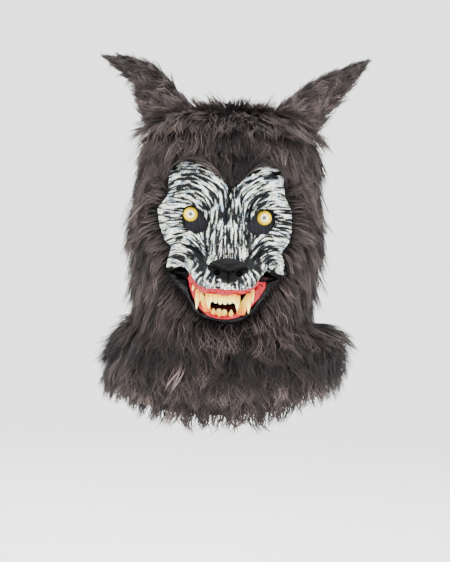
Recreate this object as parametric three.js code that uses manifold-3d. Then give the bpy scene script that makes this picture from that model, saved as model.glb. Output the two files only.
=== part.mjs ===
// A werewolf mask: a long-pile fur hood with a shoulder cape, two fur ears and a moulded wolf face.
// Millimetres, +Z up. The front is -Y. The origin is the inside of the crown, where it sits on a head.

import * as THREE from 'three';
import { mergeVertices } from 'three/addons/utils/BufferGeometryUtils.js';
import Module from 'manifold-3d';

const wasm = await Module();
wasm.setup();

// Clearances and walls
const GAP = 0.3; // between pieces that seat on each other
const CLOTH = 2.5; // fur cloth backing
const SHELL = 2; // moulded face
const GAUZE = 1; // sight gauze
const LINER = 2; // mouth liner

// Hood
const HOOD_HEIGHT = 252; // outside of the crown to the neck seam
const HOOD_WIDTH = 222;
const HOOD_FRONT = 122; // crown axis to the forehead
const HOOD_BACK = 116; // crown axis to the back of the head
const HOOD_SQUARENESS = 2.4; // power of the plan's superellipse
const HOOD_PILE = 15; // depth of fur
const BEARD_REACH = 14; // further depth of fur under the jaw
const BEARD_DROP = 16; // how far the beard overhangs the neck seam

// Cape
const CAPE_DROP = 112; // neck seam to the front hem of the backing
const CAPE_WIDTH = 272;
const CAPE_FRONT = 116;
const CAPE_BACK = 118;
const CAPE_PILE = 13;
const CAPE_FRINGE = 12; // fur hanging below the hem

// Ears
const EAR_LENGTH = 122;
const EAR_REACH = { left: 0.9, right: 1 }; // each ear's own length as a share
const EAR_WIDTH = 54;
const EAR_THICKNESS = 30;
const EAR_SPREAD = 74; // crown axis to the middle of the root
const EAR_ROOT_SINK = 7; // middle of the root below the crown, before it is trimmed to the hood

// Face
const FACE_WIDTH = 164;
const FACE_HEIGHT = 156; // brow lobes to the upper lip
const JAW_ABOVE_SEAM = 0.5; // underside of the jaw lip to the neck seam
const FACE_MIDDLE = -1; // sideways place of the face's middle line
const SNOUT_REACH = 68;
const SNOUT_WIDTH = 78; // at the lip
const BROW_RELIEF = 13;
const CHEEK_RELIEF = 12;
const FURROW_DEPTH = 7;
const FLANGE = 7; // hood cloth that laps behind the face's rim

// Nose, eyes
const NOSE_WIDTH = 46;
const NOSE_HEIGHT = 30;
const NOSE_DEPTH = 15;
const EYE_DIAMETER = 19;
const EYE_RISE = 6;
const PUPIL_DIAMETER = 5.5;
const PUPIL_RISE = 1;

// Mouth
const MOUTH_HEIGHT = 62; // mouth corners to the underside of the jaw lip
const TOOTH_WIDTH = 8; // widest fang
const TOOTH_LENGTH = 20; // longest fang
const JAW_REACH = 44;
const GUM_DEPTH = 7;
const UPPER_GUM_HEIGHT = 15;
const LOWER_GUM_WIDTH = 7;
const GUM_SET_BACK = 2; // lower gum behind the front of the jaw

// Places on the face, as shares of its height and width
const MOUTH_DOWN = 0.82; // brow lobes to the mouth corners
const EYES_DOWN = 0.417; // brow lobes to the eyes
const EYES_APART = 0.53;
const MOUTH_ACROSS = 0.854;

// Places that follow from these sizes
const MOUTH_TOP = HOOD_HEIGHT - CLOTH - JAW_ABOVE_SEAM - MOUTH_HEIGHT; // crown to the mouth corners
const FACE_TOP = MOUTH_TOP - MOUTH_DOWN * FACE_HEIGHT; // crown to the brow lobes
const EYE_DROP = FACE_TOP + EYES_DOWN * FACE_HEIGHT; // crown to the eyes
const EYE_SPACING = EYES_APART * FACE_WIDTH;
const MOUTH_WIDTH = MOUTH_ACROSS * FACE_WIDTH;

// Hood sections: drop as a share of the height, then shares of the half width, front and back
const HOOD_ROWS = [
  { drop: 0.0, width: 0.56, front: 0.5, back: 0.52 },
  { drop: 0.02, width: 0.76, front: 0.72, back: 0.74 },
  { drop: 0.06, width: 0.87, front: 0.84, back: 0.87 },
  { drop: 0.14, width: 0.91, front: 0.93, back: 0.95 },
  { drop: 0.26, width: 0.93, front: 0.98, back: 1.0 },
  { drop: 0.42, width: 0.97, front: 1.0, back: 1.0 },
  { drop: 0.57, width: 1.0, front: 1.0, back: 0.97 },
  { drop: 0.72, width: 0.96, front: 0.98, back: 0.92 },
  { drop: 0.86, width: 0.93, front: 0.94, back: 0.84 },
  { drop: 1.0, width: 0.9, front: 0.88, back: 0.78 },
];

// Cape sections: drop as a share of the cape's drop. At the seam the cape has the hood's own section,
// and spread says how far it has opened from there to its full width and depth.
const CAPE_ROWS = [
  { drop: 0.0, spread: 0.0 },
  { drop: 0.1, spread: 0.34 },
  { drop: 0.24, spread: 0.72 },
  { drop: 0.4, spread: 0.93 },
  { drop: 0.6, spread: 1.0 },
  { drop: 0.8, spread: 1.02 },
  { drop: 1.0, spread: 1.0 },
];

// Hem of the cape round the body: turn in degrees from the front towards +X, length as a share of the drop
const HEM_ROWS = [
  { turn: 0, length: 1.0 },
  { turn: 35, length: 0.93 },
  { turn: 62, length: 0.66 },
  { turn: 90, length: 0.42 },
  { turn: 130, length: 0.62 },
  { turn: 180, length: 0.86 },
  { turn: 230, length: 0.7 },
  { turn: 270, length: 0.56 },
  { turn: 298, length: 0.74 },
  { turn: 325, length: 0.93 },
  { turn: 360, length: 1.0 },
];

// Ear sections from root to tip: along as a share of the length, width and thickness as shares of the
// ear's own, lean as the share of the length that the middle has moved outward, and dish as a share of
// the thickness. Left and right are as seen from the front, here and in the names of the pieces.
const EAR_ROWS = {
  left: [
    { along: 0.0, width: 1.0, thickness: 1.0, lean: 0.0, dish: 0.0 },
    { along: 0.14, width: 0.98, thickness: 1.0, lean: 0.0, dish: 0.1 },
    { along: 0.27, width: 0.86, thickness: 0.92, lean: 0.0, dish: 0.3 },
    { along: 0.42, width: 0.7, thickness: 0.82, lean: 0.0, dish: 0.4 },
    { along: 0.53, width: 0.64, thickness: 0.74, lean: 0.01, dish: 0.4 },
    { along: 0.64, width: 0.6, thickness: 0.66, lean: 0.05, dish: 0.4 },
    { along: 0.75, width: 0.55, thickness: 0.58, lean: 0.12, dish: 0.34 },
    { along: 0.9, width: 0.36, thickness: 0.42, lean: 0.24, dish: 0.2 },
    { along: 1.0, width: 0.1, thickness: 0.13, lean: 0.36, dish: 0.0 },
  ],
  right: [
    { along: 0.0, width: 1.0, thickness: 1.0, lean: 0.0, dish: 0.0 },
    { along: 0.14, width: 0.95, thickness: 1.0, lean: 0.0, dish: 0.1 },
    { along: 0.27, width: 0.84, thickness: 0.92, lean: 0.03, dish: 0.3 },
    { along: 0.42, width: 0.74, thickness: 0.82, lean: 0.07, dish: 0.4 },
    { along: 0.53, width: 0.67, thickness: 0.74, lean: 0.1, dish: 0.4 },
    { along: 0.64, width: 0.56, thickness: 0.64, lean: 0.15, dish: 0.4 },
    { along: 0.75, width: 0.44, thickness: 0.54, lean: 0.2, dish: 0.34 },
    { along: 0.9, width: 0.25, thickness: 0.38, lean: 0.26, dish: 0.2 },
    { along: 1.0, width: 0.06, thickness: 0.12, lean: 0.3, dish: 0.0 },
  ],
};

// Outline of the face, clockwise as seen from the front, from the notch between the brow lobes:
// across as a share of the half width, down as a share of the height
const FACE_OUTLINE = [
  { across: 0.04, down: 0.22 },
  { across: 0.2, down: 0.15 },
  { across: 0.35, down: 0.06 },
  { across: 0.5, down: 0.0 },
  { across: 0.68, down: 0.01 },
  { across: 0.8, down: 0.09 },
  { across: 0.84, down: 0.25 },
  { across: 0.95, down: 0.35 },
  { across: 0.97, down: 0.5 },
  { across: 0.93, down: 0.6 },
  { across: 0.83, down: 0.67 },
  { across: 0.88, down: 0.75 },
  { across: 0.92, down: 0.85 },
  { across: 0.75, down: 0.83 },
  { across: 0.63, down: 0.81 },
  { across: 0.54, down: 0.87 },
  { across: 0.45, down: 0.95 },
  { across: 0.3, down: 0.985 },
  { across: 0.04, down: 0.995 },
  { across: -0.24, down: 0.985 },
  { across: -0.37, down: 0.95 },
  { across: -0.48, down: 0.87 },
  { across: -0.57, down: 0.81 },
  { across: -0.7, down: 0.82 },
  { across: -0.84, down: 0.84 },
  { across: -0.81, down: 0.75 },
  { across: -0.77, down: 0.67 },
  { across: -0.88, down: 0.62 },
  { across: -0.97, down: 0.5 },
  { across: -1.01, down: 0.38 },
  { across: -0.87, down: 0.28 },
  { across: -0.86, down: 0.1 },
  { across: -0.7, down: 0.02 },
  { across: -0.5, down: 0.0 },
  { across: -0.25, down: 0.04 },
  { across: -0.11, down: 0.13 },
];

// Eye openings, mirrored for the other side: across as a share of the half width, down of the height
const EYE_OPENING = [
  { across: 0.26, down: 0.49 },
  { across: 0.38, down: 0.42 },
  { across: 0.46, down: 0.345 },
  { across: 0.62, down: 0.335 },
  { across: 0.69, down: 0.39 },
  { across: 0.67, down: 0.46 },
  { across: 0.58, down: 0.53 },
  { across: 0.42, down: 0.55 },
  { across: 0.3, down: 0.53 },
];

// Raised and sunk forms of each half of the face: across and down as above, with their reach as
// shares of the half width and the height, and rise as a share of the relief that the row names
const FACE_FORMS = [
  { relief: BROW_RELIEF, rise: 0.95, across: 0.52, down: 0.14, wide: 0.34, tall: 0.14 },
  { relief: BROW_RELIEF, rise: 0.8, across: 0.4, down: 0.29, wide: 0.3, tall: 0.07 },
  { relief: BROW_RELIEF, rise: 0.55, across: 0.74, down: 0.32, wide: 0.16, tall: 0.08 },
  { relief: BROW_RELIEF, rise: 0.75, across: 0.1, down: 0.32, wide: 0.14, tall: 0.1 },
  { relief: CHEEK_RELIEF, rise: 0.85, across: 0.62, down: 0.66, wide: 0.3, tall: 0.12 },
  { relief: CHEEK_RELIEF, rise: 0.7, across: 0.86, down: 0.48, wide: 0.14, tall: 0.16 },
  { relief: CHEEK_RELIEF, rise: 0.6, across: 0.72, down: 0.79, wide: 0.22, tall: 0.07 },
  { relief: FURROW_DEPTH, rise: -2.0, across: 0.53, down: 0.44, wide: 0.22, tall: 0.11 },
  { relief: FURROW_DEPTH, rise: -0.8, across: 0.44, down: 0.72, wide: 0.08, tall: 0.1 },
];

// Snout along its length: down as a share of the face height, reach and width as shares of the snout's own
const SNOUT_ROWS = [
  { down: 0.25, reach: 0.02, width: 0.3 },
  { down: 0.38, reach: 0.12, width: 0.34 },
  { down: 0.48, reach: 0.32, width: 0.42 },
  { down: 0.58, reach: 0.56, width: 0.54 },
  { down: 0.68, reach: 0.8, width: 0.72 },
  { down: 0.78, reach: 0.95, width: 0.88 },
  { down: 0.88, reach: 1.0, width: 0.98 },
  { down: 1.0, reach: 0.94, width: 1.0 },
  { down: 1.2, reach: 0.8, width: 1.0 },
];

// Lower outline of the mouth, from the left corner to the right: shares of the mouth's half width and height
const MOUTH_OUTLINE = [
  { across: -0.98, down: 0.06 },
  { across: -0.86, down: 0.26 },
  { across: -0.73, down: 0.41 },
  { across: -0.6, down: 0.55 },
  { across: -0.47, down: 0.78 },
  { across: -0.3, down: 0.94 },
  { across: 0.0, down: 1.0 },
  { across: 0.32, down: 0.97 },
  { across: 0.53, down: 0.82 },
  { across: 0.67, down: 0.59 },
  { across: 0.8, down: 0.38 },
  { across: 0.95, down: 0.18 },
  { across: 1.02, down: 0.1 },
];

// Lower gum's outer edge, in the same shares
const LOWER_GUM_OUTLINE = [
  { across: -0.6, down: 0.24 },
  { across: -0.57, down: 0.42 },
  { across: -0.5, down: 0.62 },
  { across: -0.34, down: 0.84 },
  { across: 0.0, down: 0.92 },
  { across: 0.36, down: 0.87 },
  { across: 0.54, down: 0.68 },
  { across: 0.64, down: 0.44 },
  { across: 0.68, down: 0.24 },
];

// Upper gum's lower edge, in the same shares
const UPPER_GUM_EDGE = [
  { across: -0.57, down: 0.27 },
  { across: -0.38, down: 0.44 },
  { across: -0.18, down: 0.53 },
  { across: 0.01, down: 0.55 },
  { across: 0.21, down: 0.53 },
  { across: 0.4, down: 0.46 },
  { across: 0.6, down: 0.27 },
];

// Upper teeth: across as a share of the mouth's half width, root width, length and sideways lean as shares
// of the widest and longest fang, and whether the tip is blunt
const UPPER_TEETH = [
  { name: 'side_tooth_left', across: -0.529, width: 0.75, length: 0.4, blunt: 0, lean: -0.2 },
  { name: 'outer_fang_left', across: -0.414, width: 1, length: 1, blunt: 0, lean: -0.15 },
  { name: 'upper_canine_left', across: -0.264, width: 0.75, length: 0.85, blunt: 0, lean: 0 },
  { name: 'upper_incisor_1', across: -0.176, width: 0.537, length: 0.35, blunt: 1, lean: 0 },
  { name: 'upper_incisor_2', across: -0.1, width: 0.575, length: 0.375, blunt: 1, lean: 0 },
  { name: 'upper_incisor_3', across: -0.023, width: 0.6, length: 0.4, blunt: 1, lean: 0 },
  { name: 'upper_incisor_4', across: 0.056, width: 0.6, length: 0.4, blunt: 1, lean: 0 },
  { name: 'upper_incisor_5', across: 0.133, width: 0.575, length: 0.375, blunt: 1, lean: 0 },
  { name: 'upper_incisor_6', across: 0.206, width: 0.525, length: 0.35, blunt: 1, lean: 0 },
  { name: 'upper_canine_right', across: 0.29, width: 0.75, length: 0.85, blunt: 0, lean: 0 },
  { name: 'outer_fang_right', across: 0.443, width: 1, length: 1, blunt: 0, lean: 0.1 },
  { name: 'side_tooth_right', across: 0.557, width: 0.75, length: 0.45, blunt: 0, lean: 0.1 },
];

// Lower teeth, in the same columns, standing up from the lower gum
const LOWER_TEETH = [
  { name: 'lower_canine_left', across: -0.35, width: 0.75, length: 0.85, blunt: 0, lean: 0.05 },
  { name: 'lower_incisor_1', across: -0.214, width: 0.688, length: 0.4, blunt: 1, lean: 0 },
  { name: 'lower_incisor_2', across: -0.093, width: 0.875, length: 0.45, blunt: 1, lean: 0 },
  { name: 'lower_incisor_3', across: 0.036, width: 0.875, length: 0.45, blunt: 1, lean: 0 },
  { name: 'lower_incisor_4', across: 0.164, width: 0.75, length: 0.4, blunt: 1, lean: 0 },
  { name: 'lower_canine_right', across: 0.364, width: 0.75, length: 0.85, blunt: 0, lean: -0.05 },
];

// Curves and tables

// A column of a table at a place between its rows, on a smooth curve through them
function readTable(rows, key, column, at) {
  const last = rows.length - 1;
  const place = THREE.MathUtils.clamp(at, rows[0][key], rows[last][key]);
  let i = 0;
  while (i < last - 1 && rows[i + 1][key] < place) i += 1;
  const slope = (k) => {
    const before = rows[Math.max(k - 1, 0)];
    const after = rows[Math.min(k + 1, last)];
    return (after[column] - before[column]) / (after[key] - before[key]);
  };
  const span = rows[i + 1][key] - rows[i][key];
  const t = (place - rows[i][key]) / span;
  const from = rows[i][column];
  const to = rows[i + 1][column];
  const curveFrom = slope(i) * span - (to - from);
  const curveTo = (to - from) - slope(i + 1) * span;
  return from + t * (to - from) + t * (1 - t) * ((1 - t) * curveFrom + t * curveTo);
}

const smoothStep = (t) => THREE.MathUtils.smoothstep(t, 0, 1);
const mix = THREE.MathUtils.lerp;

// Radius of a superellipse in the direction of a turn from the front towards +X
function planRadius(turn, halfWidth, front, back, power) {
  const depth = Math.cos(turn) > 0 ? front : back;
  const x = Math.abs(Math.sin(turn)) / halfWidth;
  const y = Math.abs(Math.cos(turn)) / depth;
  return 1 / (x ** power + y ** power) ** (1 / power);
}

// Solids from rings of points, and booleans

function signedVolume(points, faces) {
  const normal = new THREE.Vector3();
  let sum = 0;
  for (const [a, b, c] of faces) {
    sum += normal.crossVectors(points[b], points[c]).dot(points[a]);
  }
  return sum / 6;
}

// A closed solid from its points and triangles, turned to face out
function solidFrom(points, faces) {
  const outward = signedVolume(points, faces) > 0;
  const triangles = outward ? faces : faces.map(([a, b, c]) => [a, c, b]);
  return new wasm.Manifold(new wasm.Mesh({
    numProp: 3,
    vertProperties: new Float32Array(points.flatMap((p) => [p.x, p.y, p.z])),
    triVerts: new Uint32Array(triangles.flat()),
  }));
}

// A closed solid through rings of equal point count, with a fan at each end
function loft(rings) {
  const count = rings[0].length;
  const points = rings.flat();
  const faces = [];
  for (let i = 0; i < rings.length - 1; i += 1) {
    for (let j = 0; j < count; j += 1) {
      const next = (j + 1) % count;
      const [a, b] = [i * count + j, i * count + next];
      const [c, d] = [a + count, b + count];
      faces.push([a, c, b], [b, c, d]);
    }
  }
  const end = (ring, start, flip) => {
    const middle = points.length;
    const centre = new THREE.Vector3();
    ring.forEach((p) => centre.addScaledVector(p, 1 / count));
    points.push(centre);
    for (let j = 0; j < count; j += 1) {
      const next = start + ((j + 1) % count);
      faces.push(flip ? [middle, next, start + j] : [middle, start + j, next]);
    }
  };
  end(rings[0], 0, false);
  end(rings[rings.length - 1], (rings.length - 1) * count, true);
  return solidFrom(points, faces);
}

// A three.js geometry as a solid, moved to where it belongs
function solidOf(geometry, matrix = new THREE.Matrix4()) {
  const plain = geometry.clone().applyMatrix4(matrix);
  plain.deleteAttribute('normal');
  plain.deleteAttribute('uv');
  const merged = mergeVertices(plain, 1e-4);
  const at = merged.getAttribute('position');
  const points = [];
  for (let i = 0; i < at.count; i += 1) points.push(new THREE.Vector3().fromBufferAttribute(at, i));
  const faces = [];
  for (let i = 0; i < merged.index.count; i += 3) {
    const [a, b, c] = [merged.index.getX(i), merged.index.getX(i + 1), merged.index.getX(i + 2)];
    if (a !== b && b !== c && c !== a) faces.push([a, b, c]);
  }
  return solidFrom(points, faces);
}

function geometryOf(solid) {
  const mesh = solid.getMesh();
  const geometry = new THREE.BufferGeometry();
  geometry.setAttribute('position', new THREE.BufferAttribute(new Float32Array(mesh.vertProperties), 3));
  geometry.setIndex(new THREE.BufferAttribute(new Uint32Array(mesh.triVerts), 1));
  geometry.computeVertexNormals();
  return geometry;
}

// An outline of { x, z } points as a prism that runs along Y
function prism(outline, fromY, toY) {
  const shape = new THREE.Shape(outline.map((p) => new THREE.Vector2(p.x, p.z)));
  const geometry = new THREE.ExtrudeGeometry(shape, { depth: toY - fromY, bevelEnabled: false });
  geometry.rotateX(Math.PI / 2);
  geometry.translate(0, toY, 0);
  return solidOf(geometry);
}

// A closed outline moved away from its middle by a distance, or towards it by a negative one
function growOutline(outline, distance) {
  const middle = new THREE.Vector2();
  outline.forEach((p) => middle.add(new THREE.Vector2(p.x, p.z).divideScalar(outline.length)));
  return outline.map((p) => {
    const away = new THREE.Vector2(p.x, p.z).sub(middle);
    away.multiplyScalar(1 + distance / away.length());
    return { x: middle.x + away.x, z: middle.y + away.y };
  });
}

// A closed outline with evenly spaced points on a smooth curve through the given ones
function smoothOutline(outline, count) {
  const curve = new THREE.CatmullRomCurve3(outline.map((p) => new THREE.Vector3(p.x, 0, p.z)), true);
  return curve.getSpacedPoints(count).slice(0, count).map((p) => ({ x: p.x, z: p.z }));
}

// Hood

const CLOTH_COLUMNS = 28; // facets round the hood and the cape
const FUR_COLUMNS = 36;
const SEAM = CLOTH - HOOD_HEIGHT; // height of the neck seam

const turns = (count) => Array.from({ length: count }, (_, j) => (j / count) * 2 * Math.PI);

// Half width, front and back of the hood's cloth at a drop, grown outward
function hoodSection(drop, grow) {
  return {
    halfWidth: (HOOD_WIDTH / 2) * readTable(HOOD_ROWS, 'drop', 'width', drop) + grow,
    front: HOOD_FRONT * readTable(HOOD_ROWS, 'drop', 'front', drop) + grow,
    back: HOOD_BACK * readTable(HOOD_ROWS, 'drop', 'back', drop) + grow,
  };
}

// How much of a growth goes upward near the crown
const CROWN_SHARE = 0.14;
const crownLift = (drop, grow) => grow * Math.max(0, 1 - drop / CROWN_SHARE);

function hoodPoint(turn, drop, grow) {
  const section = hoodSection(drop, grow);
  const radius = planRadius(turn, section.halfWidth, section.front, section.back, HOOD_SQUARENESS);
  const height = CLOTH - drop * HOOD_HEIGHT + crownLift(drop, grow);
  return new THREE.Vector3(radius * Math.sin(turn), -radius * Math.cos(turn), height);
}

// The hood's outer form grown by a distance, with its neck drawn down below the seam
function hoodForm(grow, below = 0) {
  const drops = HOOD_ROWS.map((row) => row.drop);
  const rings = drops.map((drop) => turns(CLOTH_COLUMNS).map((turn) => hoodPoint(turn, drop, grow)));
  if (below > 0) rings.push(rings[rings.length - 1].map((p) => p.clone().setZ(SEAM - below)));
  return loft(rings);
}

const hoodOuter = hoodForm(0);
const hoodGrown = hoodForm(GAP, 30);

// Depth of the hood's front at a place across and a height, grown outward
function hoodDepth(x, z, grow) {
  const drop = THREE.MathUtils.clamp((CLOTH - z) / HOOD_HEIGHT, 0, 1);
  const section = hoodSection(drop, grow);
  const across = Math.min(Math.abs(x) / section.halfWidth, 1);
  return -section.front * (1 - across ** HOOD_SQUARENESS) ** (1 / HOOD_SQUARENESS);
}

// Fur in tiers of pointed locks, each tier thin at its root and full at its tips
const TIER_STEPS = [0, 0.6, 0.98];
const LOCK_COLUMNS = 2; // columns of the ring to each lock

function lockAt(column, tier, step) {
  const phase = (column + tier) / LOCK_COLUMNS;
  const point = Math.abs(Math.cos(phase * Math.PI));
  return { point, swell: step * (0.35 + 0.65 * point) };
}

// Rings of fur over a form: place(turn, drop, depth) gives a point on it
function furRings(tiers, depthAt, tipLength, place) {
  const rings = [];
  for (let tier = 0; tier < tiers; tier += 1) {
    for (const step of TIER_STEPS) {
      const drop = (tier + step) / tiers;
      rings.push(turns(FUR_COLUMNS).map((turn, column) => {
        const lock = lockAt(column, tier, step);
        const depth = depthAt(turn, drop) * (0.72 + 0.42 * lock.swell);
        const point = place(turn, drop, depth);
        point.z -= tipLength * step * lock.point;
        return point;
      }));
    }
  }
  return rings;
}

// Depth of the hood's fur: fuller under the jaw, where it is the beard
function hoodPileDepth(turn, drop) {
  const frontness = Math.max(0, Math.cos(turn)) ** 2;
  return HOOD_PILE + BEARD_REACH * frontness * smoothStep((drop - 0.84) / 0.14);
}

const HOOD_TIERS = 6;
const HOOD_LOCK_TIP = 7;

function hoodPileForm(grow) {
  const place = (turn, drop, depth) => {
    const point = hoodPoint(turn, drop, depth + grow);
    const frontness = Math.max(0, Math.cos(turn)) ** 2;
    point.z -= (BEARD_DROP * frontness + 4 * grow) * smoothStep((drop - 0.8) / 0.2);
    return point;
  };
  return loft(furRings(HOOD_TIERS, hoodPileDepth, HOOD_LOCK_TIP, place));
}

// Cape

const CAPE_SHIFT = 7; // the cape hangs further over one shoulder
const CAPE_TILT = 0.07; // rise across its width

function capePoint(turn, drop, grow, below = 0) {
  const seam = hoodSection(1, 0);
  const spread = readTable(CAPE_ROWS, 'drop', 'spread', drop);
  const halfWidth = mix(seam.halfWidth, CAPE_WIDTH / 2, spread) + grow;
  const front = mix(seam.front, CAPE_FRONT, spread) + grow;
  const back = mix(seam.back, CAPE_BACK, spread) + grow;
  const radius = planRadius(turn, halfWidth, front, back, HOOD_SQUARENESS);
  const x = radius * Math.sin(turn) + CAPE_SHIFT * spread;
  const length = CAPE_DROP * readTable(HEM_ROWS, 'turn', 'length', THREE.MathUtils.radToDeg(turn));
  const shoulder = grow * (1 - smoothStep(drop / 0.5));
  const height = SEAM - GAP - drop * length + shoulder + CAPE_TILT * x * spread;
  return new THREE.Vector3(x, -radius * Math.cos(turn), height - below);
}

function capeForm(grow, { above = 0, below = 0 } = {}) {
  const ring = (drop, lower) => turns(CLOTH_COLUMNS).map((turn) => capePoint(turn, drop, grow, lower));
  const rings = CAPE_ROWS.map((row) => ring(row.drop, 0));
  if (above > 0) rings.unshift(ring(0, -above));
  if (below > 0) rings.push(ring(1, below));
  return loft(rings);
}

const CAPE_TIERS = 3;
const CAPE_LOCK_TIP = 9;

function capePileForm() {
  const place = (turn, drop, depth) => {
    const point = capePoint(turn, drop, depth);
    point.z -= CAPE_FRINGE * smoothStep((drop - 0.7) / 0.3);
    return point;
  };
  return loft(furRings(CAPE_TIERS, () => CAPE_PILE, CAPE_LOCK_TIP, place));
}

// Ears

const EAR_COLUMNS = 12;
const EAR_TILT = THREE.MathUtils.degToRad(28);
const EAR_BACK = 8; // behind the crown axis
const EAR_RINGS = 12;
const EAR_LOCK = 2.2; // how far the fur locks stand along the edges

// One ear along its own +Z with its hollow side to the front, grown by a distance
function earForm(name, side, grow) {
  const rows = EAR_ROWS[name];
  const reach = EAR_LENGTH * EAR_REACH[name];
  const rings = [];
  for (let i = 0; i <= EAR_RINGS; i += 1) {
    const along = i / EAR_RINGS;
    const halfWidth = (EAR_WIDTH / 2) * readTable(rows, 'along', 'width', along);
    const halfDepth = (EAR_THICKNESS / 2) * readTable(rows, 'along', 'thickness', along);
    const lean = reach * readTable(rows, 'along', 'lean', along);
    const dish = readTable(rows, 'along', 'dish', along);
    const lock = EAR_LOCK * ((i % 3) / 2) * smoothStep((1 - along) * 4);
    rings.push(turns(EAR_COLUMNS).map((turn) => {
      const front = Math.max(0, Math.cos(turn));
      const depth = halfDepth * Math.cos(turn) * (1 - 2 * dish * front * front);
      return new THREE.Vector3(
        side * lean + (halfWidth + lock + grow) * Math.sin(turn),
        -depth - grow * Math.cos(turn),
        along * reach + (i === EAR_RINGS ? grow : 0),
      );
    }));
  }
  return loft(rings);
}

// Where an ear stands: its root below the crown, turned outward
function earPlace(side) {
  const matrix = new THREE.Matrix4().makeRotationY(side * EAR_TILT);
  return matrix.setPosition(side * EAR_SPREAD, EAR_BACK, -EAR_ROOT_SINK);
}

const placed = (solid, matrix) => solidOf(geometryOf(solid), matrix);

// Face

const FACE_RINGS = 9;
const FACE_CENTRE_DOWN = 0.58; // middle of the face's rings, as a share of its height
const RIM_SHARE = 0.14; // outer part of the face that runs down to the hood
const DEEP = -30; // plane behind the face where its solids end

const faceX = (across) => FACE_MIDDLE + across * (FACE_WIDTH / 2);
const faceZ = (down) => -FACE_TOP - down * FACE_HEIGHT;
const facePlace = ({ across, down }) => ({ x: faceX(across), z: faceZ(down) });
const mouthX = (across) => FACE_MIDDLE + across * (MOUTH_WIDTH / 2);
const mouthZ = (down) => -MOUTH_TOP - down * MOUTH_HEIGHT;
const mouthPlace = ({ across, down }) => ({ x: mouthX(across), z: mouthZ(down) });

const FACE_EDGE = FACE_OUTLINE.map(facePlace);
const FACE_CENTRE = { x: faceX(0.03), z: faceZ(FACE_CENTRE_DOWN) };

// A rounded hill: 1 in the middle, 0.5 at its edge
const hill = (distance, power) => 1 / (1 + Math.abs(distance) ** power);

// Share of the way from the middle of the face to its edge, in the direction of a place
function towardEdge(x, z) {
  const dx = x - FACE_CENTRE.x;
  const dz = z - FACE_CENTRE.z;
  for (let i = 0; i < FACE_EDGE.length; i += 1) {
    const a = FACE_EDGE[i];
    const b = FACE_EDGE[(i + 1) % FACE_EDGE.length];
    const [ax, az] = [a.x - FACE_CENTRE.x, a.z - FACE_CENTRE.z];
    const [bx, bz] = [b.x - FACE_CENTRE.x, b.z - FACE_CENTRE.z];
    const turned = ax * bz - az * bx;
    const u = (dx * bz - dz * bx) / turned;
    const v = (ax * dz - az * dx) / turned;
    if (u >= -1e-9 && v >= -1e-9 && u + v > 0) return u + v;
  }
  return 0;
}

const SNOUT_TURN = 0.06; // the snout's end leans to one side by this share of the half width

function snoutRise(x, z) {
  const down = (-FACE_TOP - z) / FACE_HEIGHT;
  const reach = readTable(SNOUT_ROWS, 'down', 'reach', down);
  const halfWidth = (SNOUT_WIDTH / 2) * readTable(SNOUT_ROWS, 'down', 'width', down);
  const middle = faceX(SNOUT_TURN * smoothStep((down - 0.4) / 0.4));
  return SNOUT_REACH * reach * hill((x - middle) / halfWidth, 4);
}

// Height of the face above the hood's cloth
function faceRise(x, z) {
  const down = (-FACE_TOP - z) / FACE_HEIGHT;
  let rise = snoutRise(x, z);
  for (const form of FACE_FORMS) {
    for (const side of [-1, 1]) {
      const across = (x - faceX(side * form.across)) / (form.wide * (FACE_WIDTH / 2));
      const along = (down - form.down) / form.tall;
      rise += form.relief * form.rise * Math.exp(-(across ** 2 + along ** 2));
    }
  }
  const aside = Math.abs(x - FACE_MIDDLE) / (FACE_WIDTH / 2);
  const free = smoothStep((down - 0.72) / 0.12) * smoothStep((0.8 - aside) / 0.14);
  const edge = smoothStep((1 - towardEdge(x, z)) / RIM_SHARE);
  return Math.max(0, rise) * mix(edge, 1, free);
}

const faceDepth = (x, z) => hoodDepth(x, z, SHELL + GAP) - faceRise(x, z);

// A point of a surface y = depth(x, z), moved out along its normal
function liftedPoint(depth, x, z, lift) {
  const step = 2;
  const slopeX = (depth(x + step, z) - depth(x - step, z)) / (2 * step);
  const slopeZ = (depth(x, z + step) - depth(x, z - step)) / (2 * step);
  const outward = new THREE.Vector3(slopeX, -1, slopeZ).normalize();
  return new THREE.Vector3(x, depth(x, z), z).addScaledVector(outward, lift);
}

// Layer of the face between two lifts from its painted surface, or to the deep plane without a back lift
function faceLayer(front, back, reach = 1) {
  const shares = Array.from({ length: FACE_RINGS }, (_, i) => ((i + 1) / FACE_RINGS) ** 0.85);
  if (reach > 1) shares.push(reach);
  const at = (edge, share) => ({
    x: mix(FACE_CENTRE.x, edge.x, share),
    z: mix(FACE_CENTRE.z, edge.z, share),
  });
  const ring = (share, lift) => FACE_EDGE.map((edge) => {
    const place = at(edge, share);
    if (lift === undefined) return new THREE.Vector3(place.x, DEEP, place.z);
    return liftedPoint(faceDepth, place.x, place.z, lift);
  });
  const outer = shares.map((share) => ring(share, front));
  const inner = shares.map((share) => ring(share, back));
  return loft([...outer, ...inner.reverse()]);
}

const EYE_EDGE = { left: [], right: [] };
for (const [name, side] of [['left', -1], ['right', 1]]) {
  const outline = EYE_OPENING.map((p) => facePlace({ across: side * p.across, down: p.down }));
  EYE_EDGE[name] = smoothOutline(outline, 12);
}

const eyeX = (side) => FACE_MIDDLE + 1.5 + side * (EYE_SPACING / 2);

// A round bar along Y through an eye's middle
function eyeBar(side, radius, fromY, toY) {
  const bar = new THREE.CylinderGeometry(radius, radius, toY - fromY, 16);
  bar.translate(eyeX(side), (fromY + toY) / 2, -EYE_DROP);
  return solidOf(bar);
}

const FRONT = -260; // plane in front of everything, where cuts start

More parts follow.
